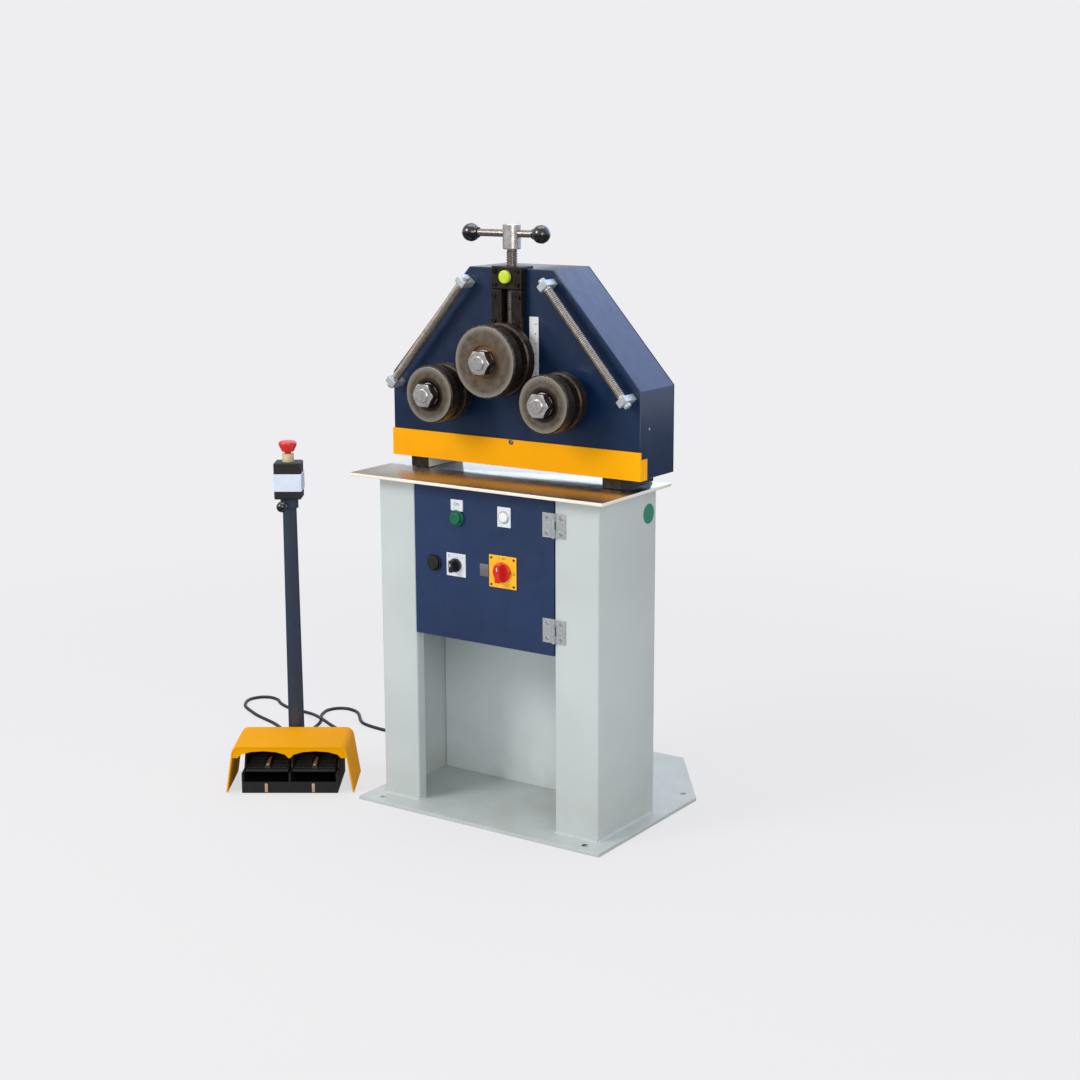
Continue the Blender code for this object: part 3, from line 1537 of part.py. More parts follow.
def foot_hood():
    """A folded hood that flares out to the floor, with two arches over the pedals."""
    path = rounded(
        [
            (-HOOD_TIP, HOOD_FLOOR_GAP),
            (-HOOD_TOP_HALF_WIDTH, HOOD_ROOF, HOOD_CORNER),
            (HOOD_TOP_HALF_WIDTH, HOOD_ROOF, HOOD_CORNER),
            (HOOD_TIP, HOOD_FLOOR_GAP),
        ],
        0,
    )
    hood = ribbon("foot_hood", path, 0, HOOD_DEPTH, HOOD_SHEET, APRON_PAINT)
    slope = (HOOD_TIP - HOOD_TOP_HALF_WIDTH) / (HOOD_ROOF - HOOD_FLOOR_GAP)
    lip_half = HOOD_TOP_HALF_WIDTH + slope * (HOOD_ROOF - HOOD_LIP)
    outline = [(-lip_half, HOOD_LIP), *path[1:-1], (lip_half, HOOD_LIP)]
    rise = HOOD_ARCH_TOP - HOOD_LIP
    for side in (1, -1):
        for step in range(SMALL_STEPS // 2 + 1):
            angle = math.pi * step / (SMALL_STEPS // 2)
            u = side * HOOD_ARCH_CENTRE + HOOD_ARCH_HALF_WIDTH * math.cos(angle)
            outline.append((u, HOOD_LIP + rise * math.sin(angle)))
    lip = prism("hood_lip", outline, HOOD_SHEET * LAP_SHARE, HOOD_SHEET, "Y")
    join(hood, lip)


def foot_base():
    """The pedal frame: a floor, three upright cheeks, a front lip and the post's socket."""
    half = PEDAL_BASE_HALF_WIDTH
    floor = box(
        "foot_base",
        (-half, PEDAL_BASE_FRONT, PEDAL_BASE_BOTTOM),
        (half, PEDAL_BASE_BACK, PEDAL_BASE_FLOOR),
        BLACK_PLASTIC,
    )
    cheek = [
        (PEDAL_BASE_FRONT, PEDAL_BASE_BOTTOM),
        (PEDAL_BASE_BACK, PEDAL_BASE_BOTTOM),
        (PEDAL_BASE_BACK, PEDAL_CHEEK_BACK_HEIGHT),
        (PEDAL_CHEEK_CREST, PEDAL_CHEEK_BACK_HEIGHT),
        (PEDAL_CHEEK_RISE, PEDAL_CHEEK_FRONT_HEIGHT),
        (PEDAL_BASE_FRONT, PEDAL_CHEEK_FRONT_HEIGHT),
    ]
    thick = PEDAL_CHEEK
    lap = thick * LAP_SHARE
    for start in (-half, -thick / 2, half - thick):
        join(floor, prism("pedal_cheek", cheek, start, start + thick, "X"))
    lip = box(
        "pedal_lip",
        (-half + thick / 2, PEDAL_BASE_FRONT, PEDAL_BASE_BOTTOM + thick / 2),
        (half - thick / 2, PEDAL_BASE_FRONT + thick, PEDAL_LIP_HEIGHT),
    )
    wall = box(
        "pedal_back_wall",
        (-half + thick / 2, PEDAL_BASE_BACK - thick, PEDAL_BASE_BOTTOM + thick / 2),
        (half - thick / 2, PEDAL_BASE_BACK, PEDAL_CHEEK_BACK_HEIGHT - lap),
    )
    tongue_half = SOCKET_RADIUS - thick
    tongue = box(
        "socket_tongue",
        (POST_U - tongue_half, PEDAL_BASE_BACK - thick / 2, PEDAL_BASE_BOTTOM + lap),
        (POST_U + tongue_half, POST_V, PEDAL_BASE_FLOOR - lap),
    )
    seat = (POST_U, POST_V, 0)
    socket = cylinder(
        "post_socket", SOCKET_RADIUS, SOCKET_TOP, PEDAL_BASE_BOTTOM + lap / 2, seat, UP
    )
    gland_seat = (STATION_GLAND_U, 0, STATION_GLAND_Z)
    gland = turned(
        "station_gland",
        [
            (0, -PEDAL_BASE_BACK + thick / 2),
            (GLAND_SLEEVE_RADIUS, -PEDAL_BASE_BACK + thick / 2),
            (GLAND_SLEEVE_RADIUS, -PEDAL_BASE_BACK - STATION_GLAND_NUT),
            (CORD_RADIUS, -STATION_GLAND_END + GAP),
            (0, -STATION_GLAND_END + GAP),
        ],
        gland_seat,
        FORWARD,
        steps=SMALL_STEPS,
    )
    join(floor, lip, wall, tongue, socket, gland)
    bore = cylinder(
        "socket_bore", POST_FOOT_RADIUS + GAP, SOCKET_TOP + OVERRUN, SOCKET_FLOOR, seat, UP
    )
    pivot = cylinder(
        "pivot_bore",
        PEDAL_PIVOT_RADIUS + GAP,
        half + OVERRUN,
        -half - OVERRUN,
        (0, PEDAL_PIVOT_V, PEDAL_PIVOT_Z),
        SIDEWAYS,
        steps=SMALL_STEPS,
    )
    cut(floor, bore, pivot)


def pedal(name, side):
    """One treadle: a plate with a raised rib, on a barrel whose pins turn in the cheeks."""
    near = PEDAL_CHEEK / 2 + PEDAL_SIDE_GAP
    far = PEDAL_BASE_HALF_WIDTH - PEDAL_CHEEK - PEDAL_SIDE_GAP
    left = min(side * near, side * far)
    right = max(side * near, side * far)
    pivot = ((left + right) / 2, PEDAL_PIVOT_V, PEDAL_PIVOT_Z)
    plate = PEDAL_PLATE
    outline = rounded(
        [
            (PEDAL_TOE_V, PEDAL_TOE_Z - plate, PEDAL_TOE_EDGE),
            (PEDAL_PIVOT_V, PEDAL_PIVOT_Z - plate / 2),
            (PEDAL_PIVOT_V, PEDAL_PIVOT_Z + plate / 2),
            (PEDAL_TOE_V, PEDAL_TOE_Z, PEDAL_TOE_EDGE),
        ],
        0,
        2,
    )
    treadle = prism(name, outline, left, right, "X", BLACK_PLASTIC, pivot)
    rise = PEDAL_RIB_HEIGHT
    slope = PEDAL_RIB_SLOPE
    rib_start = PEDAL_TOE_V + slope
    rib_end = PEDAL_PIVOT_V - PEDAL_RIB_END
    ridge = [
        (rib_start, PEDAL_TOE_Z - plate / 2),
        (rib_end, PEDAL_PIVOT_Z - plate / 2),
        (rib_end - slope, PEDAL_PIVOT_Z + rise),
        (rib_start + slope, PEDAL_TOE_Z + rise),
    ]
    rib_left = pivot[0] - PEDAL_RIB / 2
    rib = prism("pedal_rib", ridge, rib_left, rib_left + PEDAL_RIB, "X")
    reach = (right - left) / 2
    barrel_reach = reach - PEDAL_BARREL_PLAY
    barrel = cylinder(
        "pedal_barrel", plate, barrel_reach, -barrel_reach, pivot, SIDEWAYS, steps=SMALL_STEPS
    )
    pin_reach = reach + PEDAL_SIDE_GAP + PEDAL_PIN_SEAT
    pins = cylinder(
        "pedal_pins", PEDAL_PIVOT_RADIUS, pin_reach, -pin_reach, pivot, SIDEWAYS, steps=SMALL_STEPS
    )
    join(treadle, rib, barrel, pins)


def post():
    """A slightly tapered pole that stands in the socket and carries the control box."""
    top = BOX_BOTTOM
    profile = [
        (0, top),
        (POST_TOP_RADIUS, top),
        (POST_FOOT_RADIUS, SOCKET_TOP),
        (POST_FOOT_RADIUS, SOCKET_FLOOR + GAP),
        (0, SOCKET_FLOOR + GAP),
    ]
    pole = turned("post", profile, (POST_U, POST_V, 0), UP, MOTOR_PAINT)
    shade_round(pole)


def control_box():
    """The box on the post: black ends, a pale middle, the stop button's neck and a clamp collar."""
    half = BOX_WIDTH / 2
    front = POST_V - BOX_DEPTH / 2
    back = POST_V + BOX_DEPTH / 2
    low = (POST_U - half, front, BOX_BOTTOM)
    case = box("control_box", low, (POST_U + half, back, BOX_TOP), BLACK_PLASTIC)
    soften(case, BOX_EDGE / 2)
    proud = BOX_BAND_STANDS
    band = box(
        "box_band",
        (POST_U - half - proud, front - proud, BOX_BAND_BOTTOM),
        (POST_U + half + proud, back + proud, BOX_BAND_TOP),
    )
    soften(band, proud / 2)
    seat = (POST_U, POST_V, 0)
    neck = cylinder(
        "stop_neck", STOP_NECK_RADIUS, STOP_NECK_HEIGHT, BOX_TOP - BOX_EDGE, seat, UP
    )
    collar = cylinder(
        "clamp_collar", CLAMP_COLLAR_RADIUS, BOX_BOTTOM + BOX_EDGE, CLAMP_COLLAR_BOTTOM, seat, UP
    )
    join(case, band, neck, collar)
    bore = cylinder(
        "collar_bore",
        POST_TOP_RADIUS + GAP * 2,
        BOX_BOTTOM + GAP,
        CLAMP_COLLAR_BOTTOM - OVERRUN,
        seat,
        UP,
        steps=BORE_STEPS,
    )
    stem = cylinder(
        "clamp_bore",
        CLAMP_STEM_RADIUS + GAP,
        CLAMP_REACH,
        0,
        (POST_U, POST_V, CLAMP_Z),
        CLAMP_TURN,
        steps=SMALL_STEPS,
    )
    well = cylinder(
        "stop_well", STOP_STEM_RADIUS + GAP, STOP_NECK_HEIGHT + OVERRUN, BOX_BAND_TOP, seat, UP
    )
    cut(case, bore, stem, well)


def stop_button():
    """The red mushroom, its stalk held just above the neck."""
    radius = STOP_RADIUS
    edge = STOP_EDGE
    rim = STOP_HEIGHT - STOP_CROWN
    profile = [
        (0, STOP_HEIGHT),
        (radius - edge, rim),
        *arc((radius - edge, rim - edge), edge, 70, 0),
        (radius, STOP_HEIGHT - edge * 2),
        (STOP_NECK_RADIUS, STOP_NECK_HEIGHT + BUTTON_TRAVEL + GAP * 2),
        (STOP_STEM_RADIUS, STOP_NECK_HEIGHT + BUTTON_TRAVEL + GAP * 2),
        (STOP_STEM_RADIUS, BOX_TOP),
        (0, BOX_TOP),
    ]
    button = turned("stop_button", profile, (POST_U, POST_V, 0), UP, RED_PLASTIC)
    shade_round(button)


def clamp_knob():
    """The ball-headed screw that clamps the box to its post."""
    profile = [
        (0, CLAMP_REACH + CLAMP_KNOB_RADIUS * 2),
        *arc((0, CLAMP_REACH + CLAMP_KNOB_RADIUS), CLAMP_KNOB_RADIUS, 70, -60, BALL_STEPS),
        (CLAMP_STEM_RADIUS, CLAMP_REACH),
        (CLAMP_STEM_RADIUS, CLAMP_SEAT),
        (0, CLAMP_SEAT),
    ]
    knob = turned(
        "clamp_knob", profile, (POST_U, POST_V, CLAMP_Z), CLAMP_TURN, GLOSS_BLACK, SMALL_STEPS
    )
    shade_round(knob)


def foot_station():
    """Everything of the foot station, built in its own frame and then set beside the machine."""
    before = set(bpy.data.objects)
    foot_base()
    foot_hood()
    pedal("pedal_left", -1)
    pedal("pedal_right", 1)
    post()
    control_box()
    stop_button()
    clamp_knob()
    made = [obj for obj in bpy.data.objects if obj not in before]
    station = bpy.data.objects.new("foot_station", None)
    PARTS.objects.link(station)
    station.location = STATION_PLACE
    station.rotation_euler = (0, 0, STATION_TURN)
    for obj in made:
        obj.parent = station


def smooth_route(route):
    """Points of a smooth curve through the route, close together."""
    points = [Vector(point) for point in route]
    last = len(points) - 1
    slopes = []
    for index in range(last + 1):
        back = points[index] - points[max(index - 1, 0)]
        ahead = points[min(index + 1, last)] - points[index]
        span = back.length + ahead.length
        if index in (0, last):
            slopes.append((back + ahead) / span)
            continue
        mixed = back / back.length * ahead.length + ahead / ahead.length * back.length
        slopes.append(mixed / span)
    found = []
    for index in range(last):
        start = points[index]
        end = points[index + 1]
        span = (end - start).length
        for step in range(DENSE_STEPS):
            t = step / DENSE_STEPS
            found.append(
                start * (2 * t**3 - 3 * t**2 + 1)
                + slopes[index] * span * (t**3 - 2 * t**2 + t)
                + end * (3 * t**2 - 2 * t**3)
                + slopes[index + 1] * span * (t**3 - t**2)
            )
    found.append(points[last])
    return found


def even_points(dense, spacing):
    """The same route read at even distances."""
    lengths = [0]
    for first, second in zip(dense, dense[1:]):
        lengths.append(lengths[-1] + (second - first).length)
    count = round(lengths[-1] / spacing)
    found = []
    index = 0
    for step in range(count + 1):
        wanted = lengths[-1] * step / count
        while index < len(dense) - 2 and lengths[index + 1] < wanted:
            index += 1
        share = (wanted - lengths[index]) / (lengths[index + 1] - lengths[index])
        found.append(dense[index].lerp(dense[index + 1], share))
    return found


def control_cord():
    """The round lead from the gland on the stand's back to the foot station."""
    points = even_points(smooth_route(CORD_ROUTE), CORD_STEP)
    curve = bpy.data.curves.new("control_cord", "CURVE")
    curve.dimensions = "3D"
    curve.bevel_depth = CORD_RADIUS
    curve.bevel_resolution = 2
    curve.use_fill_caps = True
    spline = curve.splines.new("POLY")
    spline.points.add(len(points) - 1)
    for point, place in zip(spline.points, points):
        point.co = (*place, 1)
    curve.materials.append(CORD_JACKET)
    cord = bpy.data.objects.new("control_cord", curve)
    PARTS.objects.link(cord)


def main():
    stand()
    head()
    foot_station()
    control_cord()


main()
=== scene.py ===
# Looks for the ring roller: finishes, threads, fasteners, scale marks, the control cord and a plain studio.
# Metres throughout, with X to the right along the machine's front, Y to its back and Z up.
import json
import math

import bmesh
import bpy
from mathutils import Matrix, Vector


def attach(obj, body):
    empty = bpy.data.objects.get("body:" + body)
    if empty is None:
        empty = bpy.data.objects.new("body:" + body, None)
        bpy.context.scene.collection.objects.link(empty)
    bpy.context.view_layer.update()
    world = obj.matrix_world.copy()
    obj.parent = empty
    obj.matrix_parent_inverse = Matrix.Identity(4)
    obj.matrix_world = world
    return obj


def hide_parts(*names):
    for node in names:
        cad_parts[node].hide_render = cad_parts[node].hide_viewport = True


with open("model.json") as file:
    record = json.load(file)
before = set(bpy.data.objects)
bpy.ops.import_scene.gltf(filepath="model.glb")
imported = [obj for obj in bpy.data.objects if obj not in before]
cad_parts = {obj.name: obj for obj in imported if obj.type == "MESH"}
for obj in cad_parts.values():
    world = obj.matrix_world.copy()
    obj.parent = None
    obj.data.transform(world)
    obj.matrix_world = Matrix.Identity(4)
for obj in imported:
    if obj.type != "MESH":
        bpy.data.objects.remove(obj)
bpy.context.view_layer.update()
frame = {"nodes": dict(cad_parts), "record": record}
scene = bpy.context.scene
nodes = frame["nodes"]
record = frame["record"]
bodyOfNode = {node: body for body, members in record["behaviour"]["bodies"].items() for node in members}
slotOfNode = {entry["node"]: entry["material_slot"] for entry in record["subparts"]}
mm = 0.001
print("frame loaded:", len(nodes), "nodes")


# Camera, set from the edges of the base plate, stand, table and head in the photograph
cameraSet = {
    "place": (2.2099, -3.3188, 1.4209),
    "yaw": 34.107,
    "down": 12.166,
    "roll": -0.183,
    "lens": 62.7,
    "sensor": 36,
    "farClip": 200,
}


def addCamera(values):
    data = bpy.data.cameras.new("studioCamera")
    data.lens = values["lens"]
    data.sensor_width = values["sensor"]
    data.clip_end = values["farClip"]
    camera = bpy.data.objects.new("studioCamera", data)
    turn = (
        Matrix.Rotation(math.radians(values["yaw"]), 4, "Z")
        @ Matrix.Rotation(math.radians(90 - values["down"]), 4, "X")
        @ Matrix.Rotation(math.radians(values["roll"]), 4, "Z")
    )
    camera.matrix_world = Matrix.Translation(values["place"]) @ turn
    scene.collection.objects.link(camera)
    scene.camera = camera


addCamera(cameraSet)
print("camera placed")


# sRGB hex to the linear values that shaders and lamps take
def linearColour(hexText):
    parts = [int(hexText[start:start + 2], 16) / 255 for start in (0, 2, 4)]
    return [part / 12.92 if part <= 0.04045 else ((part + 0.055) / 1.055) ** 2.4 for part in parts] + [1]


def setSockets(tree, node, values):
    for name, value in values.items():
        if isinstance(value, bpy.types.NodeSocket):
            tree.links.new(value, node.inputs[name])
        else:
            node.inputs[name].default_value = value


def addNode(tree, kind, settings=None, sockets=None):
    node = tree.nodes.new("ShaderNode" + kind)
    for name, value in (settings or {}).items():
        setattr(node, name, value)
    setSockets(tree, node, sockets or {})
    return node


def emptyTree(owner):
    owner.use_nodes = True
    owner.node_tree.nodes.clear()
    return owner.node_tree


def startMaterial(name):
    material = bpy.data.materials.new(name)
    tree = emptyTree(material)
    shader = addNode(tree, "BsdfPrincipled")
    addNode(tree, "OutputMaterial", sockets={"Surface": shader.outputs["BSDF"]})
    place = addNode(tree, "TexCoord").outputs["Object"]
    return material, tree, shader, place


# How a value between low and high is spread over a new range
def between(value, low, high, atLow, atHigh):
    return {"Value": value, "From Min": low, "From Max": high, "To Min": atLow, "To Max": atHigh}


def patches(tree, place, size, detail, spread=None, stretch=None):
    # soft patches of one real size in metres; stretch draws them out along an axis
    if stretch:
        place = addNode(tree, "Mapping", sockets={"Vector": place, "Scale": stretch}).outputs["Vector"]
    sockets = {"Vector": place, "Scale": 1 / size, "Detail": detail, "Roughness": 0.55}
    tone = addNode(tree, "TexNoise", sockets=sockets).outputs["Fac"]
    if spread:
        tone = addNode(tree, "MapRange", sockets=between(tone, *spread)).outputs["Result"]
    return tone


def layered(tree, ground, coats):
    # colours laid over a ground colour, each by its own share
    colour = linearColour(ground)
    for share, hexText in coats:
        sockets = {0: share, 6: colour, 7: linearColour(hexText)}
        colour = addNode(tree, "Mix", {"data_type": "RGBA"}, sockets).outputs[2]
    return colour


# Powder-coated steel sheet: baked polyester with a fine orange peel, so edges of reflections shimmer
def powderCoatedSteel(look):
    material, tree, shader, place = startMaterial(look["name"])
    cloud = patches(tree, place, look["cloud"], 2, (0.35, 0.7, 0, 1))
    # colour specks are under 0.5 mm; drawn at 1.1 mm so that they show
    speck = patches(tree, place, 1.1 * mm, 2, (0.3, 0.75, 0, look["speck"]))
    coats = [(cloud, look["shade"]), (speck, look["shade"])]
    if "grime" in look:
        # floor dirt, thickest at the foot and broken into patches
        height = addNode(tree, "SeparateXYZ", sockets={"Vector": place}).outputs["Z"]
        fade = between(height, look["grimeFrom"], look["grimeTo"], 1, 0)
        low = addNode(tree, "MapRange", sockets=fade).outputs["Result"]
        patch = patches(tree, place, 60 * mm, 4, (0.35, 0.7, 0, look["grimeShare"]))
        share = addNode(tree, "Math", {"operation": "MULTIPLY"}, {0: low, 1: patch}).outputs[0]
        coats.append((share, look["grime"]))
    scuff = patches(tree, place, 25 * mm, 5, (0.3, 0.75, look["rough"] - 0.05, look["rough"] + 0.09))
    # orange peel is about 2 mm from crest to crest
    peel = {"Height": patches(tree, place, 2 * mm, 1), "Strength": look["peel"], "Distance": 0.08 * mm}
    setSockets(tree, shader, {
        "Base Color": layered(tree, look["colour"], coats), "Roughness": scuff,
        "IOR": 1.5, "Coat Weight": look["coat"], "Coat Roughness": 0.12, "Coat IOR": 1.5,
        "Specular IOR Level": look.get("gloss", 0.5),
        "Normal": addNode(tree, "Bump", sockets=peel).outputs["Normal"],
    })
    return material


# Tool steel, faced in a lathe and oiled: fine rings round the axis, brown oil film, a paler worn rim, and a
# ring of painted shade round the hub
def facedToolSteel(look):
    material, tree, shader, place = startMaterial(look["name"])
    centre = addNode(tree, "VectorMath", {"operation": "SUBTRACT"}, {0: place, 1: look["axis"]}).outputs[0]
    flat = addNode(tree, "VectorMath", {"operation": "MULTIPLY"}, {0: centre, 1: (1, 0, 1)}).outputs[0]
    radius = addNode(tree, "VectorMath", {"operation": "LENGTH"}, {0: flat}).outputs["Value"]
    film = patches(tree, place, 16 * mm, 4, (0.32, 0.68, 0, 1))
    # the rim, where stock rubs, is polished paler than the face
    worn = between(radius, look["rim"] - 15 * mm, look["rim"] - 5 * mm, 0, look["rimShare"])
    rim = addNode(tree, "MapRange", sockets=worn).outputs["Result"]
    # a darker ring round the hub: painted shade of the recess round the nut
    shaded = between(radius, look["hub"] - 1 * mm, look["hub"] + 4 * mm, look["hubShadeShare"], 0)
    hub = addNode(tree, "MapRange", sockets=shaded).outputs["Result"]
    coats = [(film, look["oil"]), (rim, look["bright"]), (hub, look["hubShadeColour"])]
    oiled = between(film, 0, 1, look["rough"], look["rough"] + 0.14)
    # the tool feeds 0.2 mm a turn; drawn at 1.6 mm so that it shows
    turns = addNode(tree, "Math", {"operation": "MULTIPLY"}, {0: radius, 1: math.tau / (1.6 * mm)}).outputs[0]
    wave = addNode(tree, "Math", {"operation": "SINE"}, {0: turns}).outputs[0]
    scratch = patches(tree, place, 3 * mm, 4)
    cut = addNode(tree, "Math", {"operation": "MULTIPLY_ADD"}, {0: wave, 1: 0.35, 2: scratch}).outputs[0]
    rings = {"Height": cut, "Strength": 0.35, "Distance": 0.12 * mm}
    setSockets(tree, shader, {
        "Base Color": layered(tree, look["colour"], coats), "Metallic": look["metal"],
        "Roughness": addNode(tree, "MapRange", sockets=oiled).outputs["Result"],
        "Normal": addNode(tree, "Bump", sockets=rings).outputs["Normal"],
    })
    return material


# Bright, zinc-plated or blackened steel: a metal with soft blotches of its own tone and fine draw marks, and
# where asked a band of painted reflection
def platedSteel(look):
    material, tree, shader, place = startMaterial(look["name"])
    blotch = patches(tree, place, look["blotch"], 4, (0.3, 0.7, 0, 1))
    coats = [(blotch, look["shade"])]
    # draw marks are a few tenths of a millimetre wide; drawn at 1 mm and more so that they show
    draw = patches(tree, place, look["grain"], 3, stretch=look["stretch"])
    spread = between(draw, 0.3, 0.7, look["rough"] - 0.06, look["rough"] + 0.12)
    rough = addNode(tree, "MapRange", sockets=spread).outputs["Result"]
    if "wallReflection" in look:
        # under the head the steel is painted pale blue-white and made smoother: painted reflection of the
        # bright wall seen through the gap
        depth = addNode(tree, "SeparateXYZ", sockets={"Vector": place}).outputs["Y"]
        rise = between(depth, look["wallReflectionFrom"], look["wallReflectionTo"], 0, 1)
        share = addNode(tree, "MapRange", sockets=rise).outputs["Result"]
        coats.append((share, look["wallReflection"]))
        drop = {0: share, 1: look["rough"] - look["underHeadRough"]}
        less = addNode(tree, "Math", {"operation": "MULTIPLY"}, drop).outputs[0]
        rough = addNode(tree, "Math", {"operation": "SUBTRACT"}, {0: rough, 1: less}).outputs[0]
    marks = {"Height": draw, "Strength": look["bump"], "Distance": 0.1 * mm}
    setSockets(tree, shader, {
        "Base Color": layered(tree, look["colour"], coats), "Roughness": rough, "Metallic": look["metal"],
        "Normal": addNode(tree, "Bump", sockets=marks).outputs["Normal"],
    })
    return material


# Injection-moulded plastic: one colour all through, with the mould's spark-eroded grain or a polish
def mouldedPlastic(name, look):
    material, tree, shader, place = startMaterial(name)
    colour, shade, rough, ior, coat, depth = look
    cloud = patches(tree, place, 14 * mm, 3, (0.3, 0.7, 0, 1))
    # spark-eroded grain is about 0.1 mm; drawn at 0.7 mm so that it shows
    grain = {"Height": patches(tree, place, 0.7 * mm, 2), "Strength": depth, "Distance": 0.08 * mm}
    setSockets(tree, shader, {
        "Base Color": layered(tree, colour, [(cloud, shade)]),
        "Roughness": patches(tree, place, 6 * mm, 5, (0.3, 0.75, rough - 0.04, rough + 0.1)),
        "IOR": ior, "Coat Weight": coat, "Coat Roughness": 0.06,
        "Normal": addNode(tree, "Bump", sockets=grain).outputs["Normal"],
    })
    return material


# Aluminium rule: brushed along its length and anodised matt, so it stays near white from any side
def brushedAluminium():
    material, tree, shader, place = startMaterial("brushedAluminium")
    # brushing lines are about 0.2 mm apart; drawn at 0.6 mm so that they show
    streak = patches(tree, place, 0.6 * mm, 3, stretch=(1, 1, 0.04))
    share = addNode(tree, "MapRange", sockets=between(streak, 0.3, 0.7, 0, 1)).outputs["Result"]
    brushing = {"Height": streak, "Strength": 0.12, "Distance": 0.05 * mm}
    setSockets(tree, shader, {
        "Base Color": layered(tree, "eef2f5", [(share, "dde4ea")]), "Metallic": 0.1, "Roughness": 0.4,
        "Normal": addNode(tree, "Bump", sockets=brushing).outputs["Normal"],
    })
    return material


# PVC cord jacket: extruded, matt from plasticiser, with a faint ripple along it
def extrudedPvc():
    material, tree, shader, place = startMaterial("extrudedPvc")
    dust = patches(tree, place, 30 * mm, 4, (0.35, 0.75, 0, 0.5))
    ripple = {"Height": patches(tree, place, 1.5 * mm, 2), "Strength": 0.15, "Distance": 0.1 * mm}
    setSockets(tree, shader, {
        "Base Color": layered(tree, "14181a", [(dust, "272d2f")]), "IOR": 1.54, "Roughness": 0.46,
        "Normal": addNode(tree, "Bump", sockets=ripple).outputs["Normal"],
    })
    return material


paints = {
    # a light coat on bent sheet: flat and even, with floor dirt at its foot
    "stand_paint": {
        "name": "powderCoatLightGrey", "colour": "c5cfd1", "shade": "bcc6c7", "cloud": 0.25, "speck": 0.25,
        "rough": 0.42, "coat": 0.12, "peel": 0.1,
        "grime": "a9a99b", "grimeFrom": 0.0, "grimeTo": 0.16, "grimeShare": 0.3,
    },
    # a mid blue that stays soft where it mirrors the floor
    "door_paint": {
        "name": "powderCoatSlateBlue", "colour": "1f3760", "shade": "1b3055", "cloud": 0.2, "speck": 0.3,
        "rough": 0.42, "coat": 0.1, "peel": 0.12,
    },
    # nearly black blue with a clear skin, so its slopes take the colour of what they mirror
    "head_paint": {
        "name": "powderCoatDeepBlue", "colour": "04264c", "shade": "041f40", "cloud": 0.2, "speck": 0.3,
        "rough": 0.36, "coat": 0.25, "peel": 0.12,
    },
    # chalky full yellow, hardly any gloss
    "guard_paint": {
        "name": "powderCoatMelonYellow", "colour": "ffb400", "shade": "fba900", "cloud": 0.2, "speck": 0.2,
        "rough": 0.55, "coat": 0.0, "gloss": 0.12, "peel": 0.12,
    },
    # thick brushed-on enamel over castings: lumpier than the coats on sheet
    "motor_paint": {
        "name": "machineEnamelGrey", "colour": "606870", "shade": "565e66", "cloud": 0.1, "speck": 0.3,
        "rough": 0.4, "coat": 0.2, "peel": 0.15,
    },
    # dusky blue on a tube: a long clear highlight
    "post": {
        "name": "powderCoatPostBlue", "colour": "2c3a4e", "shade": "263245", "cloud": 0.2, "speck": 0.3,
        "rough": 0.38, "coat": 0.2, "peel": 0.1,
    },
    # pale cream on the table plate's edges and on the inner sides of the head's feet: painted reflection of
    # the pale floor and wall
    "edge": {
        "name": "paleEdgePaintedReflection", "colour": "f4efe2", "shade": "eae4d4", "cloud": 0.1, "speck": 0.2,
        "rough": 0.4, "coat": 0.2, "peel": 0.1,
    },
}
